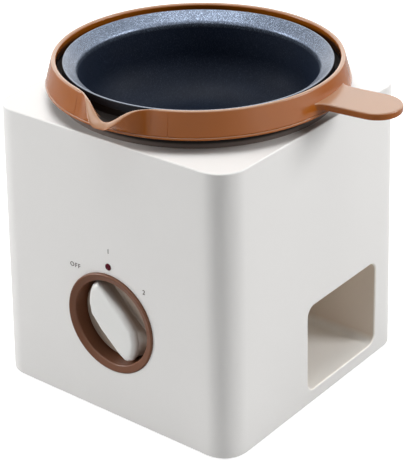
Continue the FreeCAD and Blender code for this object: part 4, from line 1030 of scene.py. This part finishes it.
@dataclass
class Housing:
    """The moulded shell with its openings, the parts under it, the inlet and the printed marks.

    The walls lean in from half_low at the height low to half_high at the height high. Each row of marks gives
    its letters and the place of its middle across and up the front wall. kept names the CAD nodes whose shape
    stays.
    """

    half_low: float = 77.84
    half_high: float = 75.0
    low: float = 1.5
    high: float = 157.4
    levels: tuple[float, ...] = (40.0, 80.0, 120.0)
    corner: float = 14.6
    wall: float = 3.0
    ceiling: float = 154.4
    opening: float = 69.6
    opening_edge: float = 0.4
    edge: float = 0.8
    panel: WallHole = WallHole((1.5, -78.1, 56.0), 0, ((25.6, -14, -2.1), (28.0, -2.1, 3)))
    lens: WallHole = WallHole((1.1, -78.1, 88.3), 0, ((1.95, -12, 3),))
    inlet: WallHole = WallHole((-46.0, 77.0, 22.0), 180, ((6.05, -9, 0), (9.2, 0, 4)))
    inlet_flange: float = 2.5
    inlet_section: tuple[Point3, ...] = ((9, 0, 1.2), (9, -2.5, 0.2), (6, -2.5, 0), (6, -13.5, 0.5),
                                         (3.6, -13.5, 0.3), (3.6, 0, 0.8))
    pocket_low: Point2 = (-9.8, 9.0)
    pocket_high: Point2 = (53.3, 59.2)
    pocket_corner: float = 5.5
    pocket_face: float = 73.2
    pocket_edge: float = 0.9
    pocket_cut: float = 8.0
    pocket_flare: float = 1.3
    pocket_flare_span: Point2 = (0.35, 4.0)
    pad_half: Point2 = (39.05, 30.25)
    pad_middle: Point2 = (21.75, 37.25)
    pad_corner: float = 3.0
    pad_out: float = 75.8
    posts: Bars = Bars(67.5, 6.5, 5.5, 25.5)
    post_bores: Bars = Bars(67.5, 1.5, 4.0, 12.5)
    bosses: Bars = Bars(56.0, 5.0, 146.0, 155.5)
    boss_bores: Bars = Bars(56.0, 1.5, 144.0, 152.5)
    feet_half: float = 54.0
    foot_top: float = 3.0
    well_screw_top: float = 145.2
    marks: tuple[tuple[str, float, float], ...] = (("OFF", -21.2, 82.2), ("1", 1.4, 97.0), ("2", 24.1, 81.5))
    mark_height: float = 2.5
    mark_proud: float = 0.02
    mark_depth: float = 0.02
    mark_spacing: float = 1.2
    kept: dict[str, Slot] = field(default_factory=lambda: {
        "base_plate": Slot.BASE, "storage_pocket": Slot.LINER, "pocket_screws": Slot.ZINC,
        "gland_nut": Slot.DARK, "indicator_lens": Slot.LENS, "indicator_lamp": Slot.GLASS,
        "lamp_holder": Slot.DARK,
    })

    def half(self, height: float) -> float:
        """Half the housing's width at a height."""
        share = (height - self.low) / (self.high - self.low)
        return self.half_low + (self.half_high - self.half_low) * share

    def tilt(self) -> float:
        """The lean of the side walls, in radians."""
        return math.atan2(self.half_low - self.half_high, self.high - self.low)

    def square_ring(self, inset: float, height: float) -> list[Point3]:
        """An outline of the shell at a height, set in from its outside."""
        half = self.half(height) - inset
        return [(x, y, height) for x, y in box_outline(half, half, self.corner - inset, side_steps=36)]

    def round_ring(self, radius: float, height: float) -> list[Point3]:
        """A circle with as many points as the square outline, at the same angles."""
        ring = self.square_ring(0, height)
        return [tuple(Vector((x, y, 0)).normalized() * radius + Vector((0, 0, height))) for x, y, _ in ring]

    def shell(self) -> Mesh:
        """Lofts the outside, the rounded top edge, the opening and the inside.

        Returns:
            The closed shell, without its posts and holes.
        """
        edge, rim = self.edge, self.opening_edge
        low_edge = edge * 0.5
        arcs = [(1 - math.cos(turn), math.sin(turn)) for turn in quarter(6)]
        rings = [self.square_ring(low_edge * (1 - rise), self.low + low_edge * back) for back, rise in arcs]
        rings += [self.square_ring(0, height) for height in self.levels]
        rings += [self.square_ring(edge * back, self.high - edge * (1 - rise)) for back, rise in arcs]
        rings += [self.round_ring(self.opening + rim * (1 - rise), self.high - rim * back)
                  for back, rise in arcs]
        rings.append(self.round_ring(self.opening, self.ceiling))
        rings += [self.square_ring(self.wall, height)
                  for height in (self.ceiling, *reversed(self.levels), self.low)]
        return rings_mesh("housing_shell", rings, closed=True)

    def pocket_outline(self, grow: float) -> list[Point2]:
        """The storage opening's outline in Y and Z, grown all round.

        Args:
            grow: How far, in millimetres.

        Returns:
            The outline's points.
        """
        middle = tuple((low + high) / 2 for low, high in zip(self.pocket_low, self.pocket_high))
        half_y, half_z = ((high - low) / 2 + grow for low, high in zip(self.pocket_low, self.pocket_high))
        return box_outline(half_y, half_z, self.pocket_corner + grow, middle)

    def pocket_cutter(self) -> Mesh:
        """A cutter for the storage opening, flared to round the lip along the leaning wall.

        Returns:
            The cutter.
        """
        edge = self.pocket_edge
        profile = [(0.0, -self.pocket_cut)]
        profile += [(edge * (1 - math.cos(turn)), edge * (math.sin(turn) - 1)) for turn in quarter(8)[:-1]]
        profile += [(edge * self.pocket_flare, depth) for depth in self.pocket_flare_span]
        rings = [[(self.half(z) + depth, y, z) for y, z in self.pocket_outline(grow)]
                 for grow, depth in profile]
        return rings_mesh("pocket_cutter", rings, closed=False, caps=True)

    def pocket_pad(self) -> Mesh:
        """The thick patch inside the right wall that the liner is screwed to."""
        outline = box_outline(*self.pad_half, self.pad_corner, self.pad_middle)
        rings = [[(x, y, z) for y, z in outline] for x in (self.pocket_face, self.pad_out)]
        return rings_mesh("pocket_pad", rings, closed=False, caps=True)

    def make_shell(self) -> None:
        """Adds the pad, the posts and the bosses, cuts the openings and settles the shell."""
        tools = [("UNION", self.pocket_pad())]
        for operation, pair in (("UNION", (self.posts, self.bosses)),
                                ("DIFFERENCE", (self.post_bores, self.boss_bores))):
            tools += [(operation, bars.at(x, y)) for x, y in CORNERS for bars in pair]
        tools += [("DIFFERENCE", hole.cutter()) for hole in (self.panel, self.lens, self.inlet)]
        tools.append(("DIFFERENCE", self.pocket_cutter()))
        self.tint_mouth(settle(combined(self.shell(), tools), Slot.HOUSING, Body.BASE, ["housing"], sharp=30))

    def tint_mouth(self, piece: bpy.types.Object, margin: float = 1.0, skin: float = 0.05) -> None:
        """Gives the mouth of the storage opening the liner's finish, and its rounded lip a paler one, a
        painted highlight where the lip catches light.

        Args:
            piece: The shell.
            margin: How far round the opening its faces are looked for, in millimetres.
            skin: The depth under the wall's face at which the wall's own finish ends.
        """
        for finish in (materials[Slot.LINER], MOUTH_HIGHLIGHT.material()):
            piece.data.materials.append(finish)
        sides = list(zip(self.pocket_low, self.pocket_high))
        for face in piece.data.polygons:
            x, y, z = face.center / MM
            inside = all(low - margin < place < high + margin for place, (low, high) in zip((y, z), sides))
            if inside and self.pocket_face < x < self.half(z) - skin:
                # Faces on the rounded lip take the painted highlight, and deeper ones the liner.
                face.material_index = 1 if x < self.half(z) - self.pocket_edge else 2

    def mark(self, text: str, x: float, z: float) -> Mesh:
        """One printed mark, lying on the leaning front wall.

        Args:
            text: Its letters.
            x: Its middle across the wall.
            z: Its middle's height.

        Returns:
            Its mesh, in place.
        """
        curve = bpy.data.curves.new("mark", "FONT")
        curve.body = text
        curve.align_x = curve.align_y = "CENTER"
        curve.extrude = self.mark_depth
        curve.space_character = self.mark_spacing
        curve.resolution_u = 6
        shown = bpy.data.objects.new("mark", curve)
        bpy.context.scene.collection.objects.link(shown)
        mesh = plain_mesh(shown, "mark_" + text)
        heights = [vertex.co.y for vertex in mesh.vertices]
        mesh.transform(Matrix.Scale(self.mark_height * MM / (max(heights) - min(heights)), 4))
        mesh.transform(Matrix.Rotation(-self.tilt(), 4, "X"))
        return facing(mesh, (x, -self.half(z) - self.mark_proud, z), 0)

    def make_marks(self) -> None:
        """Prints OFF and the two heat settings."""
        mesh = joined("dial_marks", [self.mark(*mark) for mark in self.marks])
        settle(mesh, Slot.BEZEL, Body.BASE, finish=INK.material())

    def make_inlet(self) -> None:
        """The cord's inlet in the rear wall, with a rounded flange."""
        x, y, z = self.inlet.place
        mesh = lathe("cord_inlet", rounded(self.inlet_section, closed=True), closed=True, turns=96)
        settle(facing(mesh, (x, y + self.inlet_flange, z), self.inlet.heading), Slot.DARK, Body.BASE,
               ["cord_gland"])

    def make_fasteners(self) -> None:
        """The screws and the feet under the housing, and the screws of the well."""
        foot = Fastener(shank_length=2.5, head_radius=7.0, head_height=3.0, chamfer=0.8, recess_radius=2.4,
                        recess_depth=1.0, recess_sides=32, shank_radius=2.0)
        fasteners("base_screws", Fastener(shank_length=8.5), self.posts.half, self.foot_top, Slot.ZINC)
        fasteners("rubber_feet", foot, self.feet_half, self.foot_top, Slot.RUBBER)
        fasteners("well_screws", Fastener(shank_length=6.8), self.bosses.half, self.well_screw_top, Slot.ZINC)

    def build(self) -> None:
        """Builds and dresses everything that the housing carries."""
        self.make_shell()
        self.make_marks()
        self.make_inlet()
        self.make_fasteners()
        for node, slot in self.kept.items():
            dress([node], slot)


@dataclass
class Control:
    """The bezel with its sunk dish, the knob in it and the switch behind.

    Depths are measured inwards from the bezel's plane. crest and foot are half of the grip's outlines, as
    distances along and across it, and the other half is their mirror about the middle. Each row of foot_flare
    gives a height over the disc and how much wider the grip is there.
    """

    axis: Point3 = (1.5, -78.1, 56.0)
    bezel_radius: float = 27.9
    bezel_lip: float = 2.1
    bezel_edge: float = 0.8
    ring_slope: float = 1.4
    cup_radius: float = 25.4
    cup_end: float = 18.0
    dish_radius: float = 23.6
    dish_end_radius: float = 22.8
    dish_depth: float = 16.0
    bushing: float = 4.55
    disc_radius: float = 22.3
    disc_sink: float = 8.5
    disc_back: float = 11.0
    skirt_end: float = 14.0
    skirt_inside: float = 20.3
    hub_radius: float = 5.5
    hub_end: float = 12.8
    bore_radius: float = 3.02
    bore_front: float = 3.5
    bore_end: float = 20.0
    grip_sink: float = 1.2
    grip_roll: float = 3.6
    roll_share: float = 0.29
    grip_reach: float = 22.35
    foot_gap: float = 0.15
    foot_flare: tuple[Point2, ...] = ((-1.0, 0.5), (0.0, 0.5), (0.15, 0.2), (0.5, 0.0))
    off_angle: float = 41.0
    crest: tuple[Point2, ...] = ((21.3, 6.0), (16.6, 7.7), (9.9, 8.7), (0.2, 9.9), (-9.8, 9.5), (-15.3, 6.1),
                                 (-19.2, 1.5), (-21.2, -3.0))
    foot: tuple[Point2, ...] = ((20.2, 9.2), (14.3, 9.5), (7.8, 9.9), (1.3, 10.2), (-4.9, 10.9),
                                (-11.0, 11.6), (-18.6, 12.2), (-22.2, 0.5))

    def reach(self, outline: Sequence[Point2], steps: int = 180) -> list[float]:
        """The distance from the middle to an outline and its mirror about the middle, all round.

        Args:
            outline: Half of the outline's corners.
            steps: How many values go round.

        Returns:
            The distances by equal steps of angle, each averaged with its two neighbours.
        """
        corners = list(outline) + [(-along, -across) for along, across in outline]
        pairs = list(zip(corners, corners[1:] + corners[:1]))
        raw = []
        for step in range(steps):
            heading = Vector((math.cos(math.tau * step / steps), math.sin(math.tau * step / steps)))
            hits = []
            for here, there in pairs:
                start, run = Vector(here), Vector(there) - Vector(here)
                across = heading.cross(run)
                if abs(across) > 1e-9:
                    far, share = start.cross(run) / across, start.cross(heading) / across
                    if far > 0 and -1e-6 <= share <= 1 + 1e-6:
                        hits.append(far)
            raw.append(max(hits))
        return [sum(raw[(step + shift) % steps] for shift in (-1, 0, 1)) / 3 for step in range(steps)]

    def grip(self) -> Mesh:
        """The raised grip: a steep wall from the disc, a rolled edge and a flat crest.

        Returns:
            Its mesh, with the knob's axis as Z.
        """
        base, top, roll, reach_most = -self.disc_sink, -self.grip_sink, self.grip_roll, self.grip_reach
        outer = [min(reach + self.roll_share * roll, reach_most) for reach in self.reach(self.crest)]
        low = [min(reach, reach_most - self.foot_gap) for reach in self.reach(self.foot)]
        levels = [(base + rise, [reach + wider for reach in low]) for rise, wider in self.foot_flare]
        start = self.foot_flare[-1][0]
        for share in (0.5, 1.0):
            levels.append((base + start + (top - roll - base - start) * share,
                           [near + (far - near) * share for near, far in zip(low, outer)]))
        for turn in quarter(8)[1:]:
            levels.append((top - roll * (1 - math.sin(turn)),
                           [reach - roll * (1 - math.cos(turn)) for reach in outer]))
        levels += [(top, [(reach - roll) * share for reach in outer]) for share in (0.7, 0.35)]
        turns = [math.tau * step / len(low) for step in range(len(low))]
        rings = [[(min(reach, reach_most) * math.cos(turn), min(reach, reach_most) * math.sin(turn), level)
                  for turn, reach in zip(turns, reaches)] for level, reaches in levels]
        mesh = rings_mesh("grip", rings, closed=False, caps=True)
        along = math.radians(90 + self.off_angle)
        mesh.transform(Matrix(((math.cos(along), math.sin(along), 0), (math.sin(along), -math.cos(along), 0),
                               (0, 0, -1))).to_4x4() @ Matrix.Scale(-1, 4, (0, 0, 1)))
        return mesh

    def make_bezel(self) -> None:
        """The dished ring."""
        path = rounded([(self.bezel_radius, 0, self.bezel_edge), (self.bezel_radius, -self.bezel_lip, 0.2),
                        (self.cup_radius, -self.bezel_lip, 0.2), (self.cup_radius, -self.cup_end, 0.3),
                        (self.bushing, -self.cup_end, 0), (self.bushing, -self.dish_depth, 0),
                        (self.dish_end_radius, -self.dish_depth, 0.6),
                        (self.dish_radius, -self.ring_slope, 1.0)], closed=True, steps=8)
        settle(facing(lathe("bezel", path, closed=True), self.axis, 0), Slot.BEZEL, Body.BASE, ["knob_bezel"])

    def make_knob(self) -> None:
        """The disc with its skirt and hub, the grip across it and the bore of its shaft."""
        path = rounded([(0, -self.disc_sink, 0), (self.disc_radius, -self.disc_sink, 0.4),
                        (self.disc_radius, -self.skirt_end, 0.2), (self.skirt_inside, -self.skirt_end, 0.2),
                        (self.skirt_inside, -self.disc_back, 0.3), (self.hub_radius, -self.disc_back, 0.3),
                        (self.hub_radius, -self.hub_end, 0.2), (0, -self.hub_end, 0)], closed=False)
        disc = lathe("knob_body", path, closed=False)
        bore = lathe("bore", [(0, -self.bore_end), (self.bore_radius, -self.bore_end),
                              (self.bore_radius, -self.bore_front), (0, -self.bore_front)],
                     closed=False, turns=64)
        mesh = combined(disc, [("UNION", self.grip()), ("DIFFERENCE", bore)])
        settle(facing(mesh, self.axis, 0), Slot.KNOB, Body.KNOB, ["knob"], sharp=28)

    def build(self) -> None:
        """Builds and dresses the control."""
        self.make_bezel()
        self.make_knob()
        dress(["switch_shaft", "switch_nut"], Slot.ZINC)
        dress(["bezel_ring_nut", "rotary_switch"], Slot.DARK)


@dataclass
class Collar:
    """The caramel collar with its spout, handle, web and rib.

    The spout draws the inner and the outer side of the wall out by a reach and down by a drop, which fade
    away between two distances from its middle line. swell is the power by which the outer side's reach grows
    from the foot. Above lip_share of the height, the wall blends from one side to the other. Each row of
    groove gives the height at which the wall's radius is read, how far in from it the point lies, its height
    and its rounding. Angles are degrees from -Y.
    """

    handle_turn: float = 6.8
    foot_radius: float = 78.0
    foot: float = 164.5
    rim_radius: float = 74.3
    rim: float = 178.0
    wall: float = 2.7
    web_low: float = 165.5
    web_high: float = 168.0
    web_joint: float = 72.6
    rib_bore: float = 66.7
    rib_width: float = 2.0
    rib_top: float = 172.0
    skirt_outer: float = 66.6
    skirt_inner: float = 65.4
    skirt_low: float = 162.5
    spout_angle: float = 5.5
    inner_reach: float = 11.7
    inner_reach_fade: Point2 = (-4.0, 27.0)
    inner_drop: float = 6.3
    inner_drop_fade: Point2 = (0.3, 13.3)
    outer_reach: float = 12.8
    outer_reach_fade: Point2 = (3.5, 21.4)
    outer_drop: float = 9.0
    outer_drop_fade: Point2 = (2.0, 16.0)
    swell: float = 1.4
    foot_band: float = 1.5
    lip_share: float = 0.85
    fine_half: float = 26.0
    fine_step: float = 0.5
    coarse_steps: int = 204
    seams: tuple[float, ...] = (-12.6, 27.4)
    seam_steps: Point2 = (0.05, 0.16)
    seam_half: float = 0.08
    seam_depth: float = 0.3
    seam_top: float = 0.93
    groove: tuple[tuple[float, float, float, float], ...] = (
        (165.5, 0.0, 165.5, 0.2), (165.6, 0.3, 165.65, 0.12), (165.9, 0.28, 165.95, 0.12),
        (166.1, 0.0, 166.1, 0.2))
    dark_above: float = 3.0
    handle_low: float = 167.7
    handle_high: float = 171.3
    handle_half: float = 13.0
    handle_tip: float = 113.0
    handle_root: float = 7.0
    handle_flare: float = 6.5
    handle_edge: float = 0.8
    root_radius: float = 75.4
    meet_radius: float = 76.5
    sunk_radius: float = 76.3

    @staticmethod
    def fade(across: float, near: float, far: float) -> float:
        """One inside near, nothing beyond far, and a soft slope between them."""
        share = min(max((far - across) / (far - near), 0.0), 1.0)
        return share * share * (3 - 2 * share)

    def profile(self) -> list[Point2]:
        """The wall's section away from the spout.

        Returns:
            Radius and height of each point, round the section.
        """
        slope = (self.foot_radius - self.rim_radius) / (self.rim - self.foot)

        def outside(height: float) -> float:
            """The outer radius at a height."""
            return self.foot_radius - slope * (height - self.foot)

        corners = [(outside(self.foot), self.foot, 0.35)]
        corners += [(outside(read) - inset, level, radius) for read, inset, level, radius in self.groove]
        corners += [
            (self.rim_radius, self.rim, 0.9), (self.rim_radius - self.wall + 0.1, self.rim, 1.1),
            (outside(self.web_high) - self.wall, self.web_high, 1.2), (self.web_joint, self.web_high, 0.0),
            (self.web_joint, self.web_low, 0.0), (outside(self.web_low) - self.wall, self.web_low, 0.4),
            (outside(self.foot) - self.wall, self.foot, 0.3),
        ]
        return rounded(corners, closed=True, steps=5)

    def web(self) -> Mesh:
        """The inner ring, painted near-black as painted shade: the web, the rib that carries the pot and the
        centring skirt.

        Returns:
            Its mesh.
        """
        rib_out = self.rib_bore + self.rib_width
        path = rounded([(self.web_joint, self.web_high, 0), (rib_out, self.web_high, 0.8),
                        (rib_out, self.rib_top, 0.5), (self.rib_bore, self.rib_top, 0.5),
                        (self.rib_bore, self.web_high, 0), (self.skirt_inner, self.web_high, 0.3),
                        (self.skirt_inner, self.skirt_low, 0.4), (self.skirt_outer, self.skirt_low, 0.4),
                        (self.skirt_outer, self.web_low, 0.2), (self.web_joint, self.web_low, 0)],
                       closed=True)
        return lathe("collar_web", path, closed=True)

    def angles(self) -> list[float]:
        """Where the sections stand, closer together at the spout and the seams.

        Returns:
            Their angles in degrees from -Y, in order.
        """
        first, fine = self.spout_angle, round(self.fine_half / self.fine_step)
        left = 360 - 2 * self.fine_half
        angles = [first + step * self.fine_step for step in range(-fine, fine + 1)]
        angles += [first + self.fine_half + left * step / self.coarse_steps
                   for step in range(1, self.coarse_steps)]
        angles += [seam + side * shift
                   for seam in self.seams for side in (-1, 1) for shift in self.seam_steps]
        return sorted((angle + 360) % 360 for angle in angles)

    def ring(self, radius: float, height: float, angles: Sequence[float]) -> list[Point3]:
        """One line of the skin that goes round, drawn out at the spout.

        Args:
            radius: Its radius away from the spout.
            height: Its height there.
            angles: Where its points stand.

        Returns:
            Its points.
        """
        mean = self.rim_radius - self.wall / 2
        foot_end = self.foot + self.foot_band
        lift = min(max((height - self.web_high) / (self.rim - self.web_high), 0.0), 1.0)
        from_foot = min(max((height - foot_end) / (self.rim - foot_end), 0.0), 1.0)
        inner_wall = radius > self.rib_bore + self.rib_width + 1.0 and height > self.web_high + 0.01
        outer_radius = self.foot_radius - (self.foot_radius - self.rim_radius) * from_foot
        outside = radius > outer_radius - self.wall * 0.5 and height > foot_end
        share = float(outside)
        if lift > self.lip_share:
            share = min(max((radius - mean) / self.wall + 0.5, 0.0), 1.0)
        fall = share ** self.swell
        weight, sink = (from_foot ** self.swell, from_foot) if outside else (lift, lift)
        points = []
        for angle in angles:
            turn = math.radians(angle - self.spout_angle)
            across, ahead, level = radius * math.sin(turn), radius * math.cos(turn), height
            side = abs(across)
            if ahead > 0 and (outside or inner_wall):
                ahead += (self.inner_reach * self.fade(side, *self.inner_reach_fade) * (1 - share)
                          + self.outer_reach * self.fade(side, *self.outer_reach_fade) * share) * weight
                level -= (self.inner_drop * self.fade(side, *self.inner_drop_fade) * (1 - fall)
                          + self.outer_drop * self.fade(side, *self.outer_drop_fade) * fall) * sink
            seamed = any(abs((angle - seam + 180) % 360 - 180) < self.seam_half for seam in self.seams)
            sunk = self.seam_depth * (seamed and outside and from_foot < self.seam_top)
            points.append((*(Vector((across, -ahead)) * (1 - sunk / radius)), level))
        spin = Matrix.Rotation(math.radians(self.spout_angle), 3, "Z")
        return [tuple(spin @ Vector(point)) for point in points]

    def ring_wall(self) -> Mesh:
        """The collar's ring with its spout."""
        angles = self.angles()
        return rings_mesh("collar_body", [self.ring(*point, angles) for point in self.profile()], closed=True)

    def handle(self) -> Mesh:
        """The flat handle with a flared root, a half-round end and rounded edges.

        Returns:
            Its mesh, whose root lies inside the ring's wall.
        """
        half, root, inner, edge = self.handle_half, self.handle_root, self.root_radius, self.handle_edge
        first = math.asin((half + root) / inner)
        arc = [(inner * math.cos(first * step / 4), inner * math.sin(first * step / 4), 0.0)
               for step in range(4, -5, -1)]
        corner = math.sqrt(self.meet_radius ** 2 - half ** 2)
        outline = rounded(arc + [(corner, -half, self.handle_flare), (self.handle_tip, -half, half),
                                 (self.handle_tip, half, half), (corner, half, self.handle_flare)],
                          closed=True, steps=16)
        rings = []
        turns = quarter(6)
        for height, sign, order in ((self.handle_low, 1, turns[::-1]), (self.handle_high, -1, turns)):
            for turn in order:
                moved = inset_outline(outline, edge * (1 - math.cos(turn)))
                level = height + edge * (1 - math.sin(turn)) * sign
                rings.append([(*(inset if math.hypot(*point) > self.sunk_radius else point), level)
                              for point, inset in zip(outline, moved)])
        mesh = rings_mesh("handle", rings, closed=False, caps=True)
        mesh.transform(Matrix.Rotation(math.radians(self.handle_turn), 4, "Z"))
        return mesh

    def build(self) -> None:
        """Builds the collar, whose inside is painted near-black up to the pot's seat as painted shade, and
        its inner ring.
        """
        mesh = combined(self.ring_wall(), [("UNION", self.handle())])
        piece = settle(mesh, Slot.CARAMEL, Body.COLLAR, ["collar"], sharp=32)
        piece.data.materials.append(materials[Slot.NECK])
        # Painted shade: the collar's inner faces low down take neck_brown's near-black.
        shade_radius, shade_top = (self.foot_radius - self.wall) * MM, (self.web_high + self.dark_above) * MM
        for face in piece.data.polygons:
            radial = face.center.xy
            if face.center.z < shade_top and (face.normal.xy.dot(radial) < 0 or radial.length < shade_radius):
                face.material_index = 1
        settle(self.web(), Slot.NECK, Body.COLLAR)


@dataclass
class Pot:
    """The coated pot, which hangs by its rim, with the bare edge that its coating leaves there."""

    floor: float = 131.5
    under: float = 129.0
    rim: float = 176.0
    rim_radius: float = 68.9
    lip: float = 1.0
    throat_radius: float = 61.6
    throat: float = 171.4
    floor_radius: float = 59.5
    curve: float = 24.0
    wall: float = 1.8
    seat: float = 172.0
    ledge_radius: float = 66.5
    ledge_drop: float = 2.64
    bare_depth: float = 0.1
    bare_width: float = 0.9

    def build(self) -> None:
        """Turns the pot in one skin, with a bare edge on its rim and a plain outside."""
        wall = self.wall
        path = rounded([(0, self.floor, 0), (self.floor_radius, self.floor, self.curve),
                        (self.throat_radius, self.throat, 3.0), (self.rim_radius - self.lip, self.rim, 0.3),
                        (self.rim_radius, self.rim, 0.4), (self.rim_radius, self.seat, 0.3),
                        (self.ledge_radius, self.seat, 0.3),
                        (self.throat_radius + wall, self.seat - self.ledge_drop, 1.0),
                        (self.floor_radius + wall, self.under, self.curve + wall), (0, self.under, 0)],
                       closed=False, steps=14)
        piece = settle(lathe("pot_bowl", path, closed=False, turns=240), Slot.POT, Body.POT, ["pot"])
        for finish in (BARE_EDGE, OUTSIDE):
            piece.data.materials.append(finish.material())
        bare_low, bare_radius = (self.rim - self.bare_depth) * MM, (self.rim_radius - self.bare_width) * MM
        for face in piece.data.polygons:
            if face.center.z > bare_low and face.center.xy.length > bare_radius:
                face.material_index = 1
            elif face.normal.xy.dot(face.center.xy) > 0:
                face.material_index = 2


@dataclass
class Inside:
    """The heating parts and the wiring, which keep the shapes of their CAD nodes."""

    nodes: dict[Slot, tuple[str, ...]] = field(default_factory=lambda: {
        # The seat ring takes neck_brown, whose near-black top is a painted shadow under the collar.
        Slot.NECK: ("seat_ring",),
        Slot.SILICONE: ("well_gasket",),
        Slot.SHEET: ("heating_well", "heat_shield", "fuse_clip"),
        Slot.CAST: ("heating_plate",),
        Slot.ZINC: ("heating_element", "shield_spacers", "shield_screws", "thermostat", "thermostat_screws",
                    "thermal_fuse", "fuse_clip_screw", "terminal_screws"),
        Slot.TERMINAL: ("terminal_block",),
        Slot.SLEEVE: ("live_lead", "switched_lead", "heater_lead", "fuse_lead", "neutral_lead",
                      "lamp_live_lead", "lamp_neutral_lead"),
    })

    def build(self) -> None:
        """Dresses each of them."""
        for slot, names in self.nodes.items():
            dress(names, slot)


def main() -> None:
    """Builds the studio and the sub-assemblies in order."""
    logging.basicConfig(level=logging.INFO, format="%(name)s: %(message)s")
    Studio().build()
    for group in (moulded_skin_group, flecks_group, rubbed_group):
        group()
    for slot, finish in FINISHES.items():
        materials[slot] = finish.material()
    for part in (Housing(), Control(), Collar(), Pot(), Inside()):
        part.build()


if __name__ == "__main__":
    main()
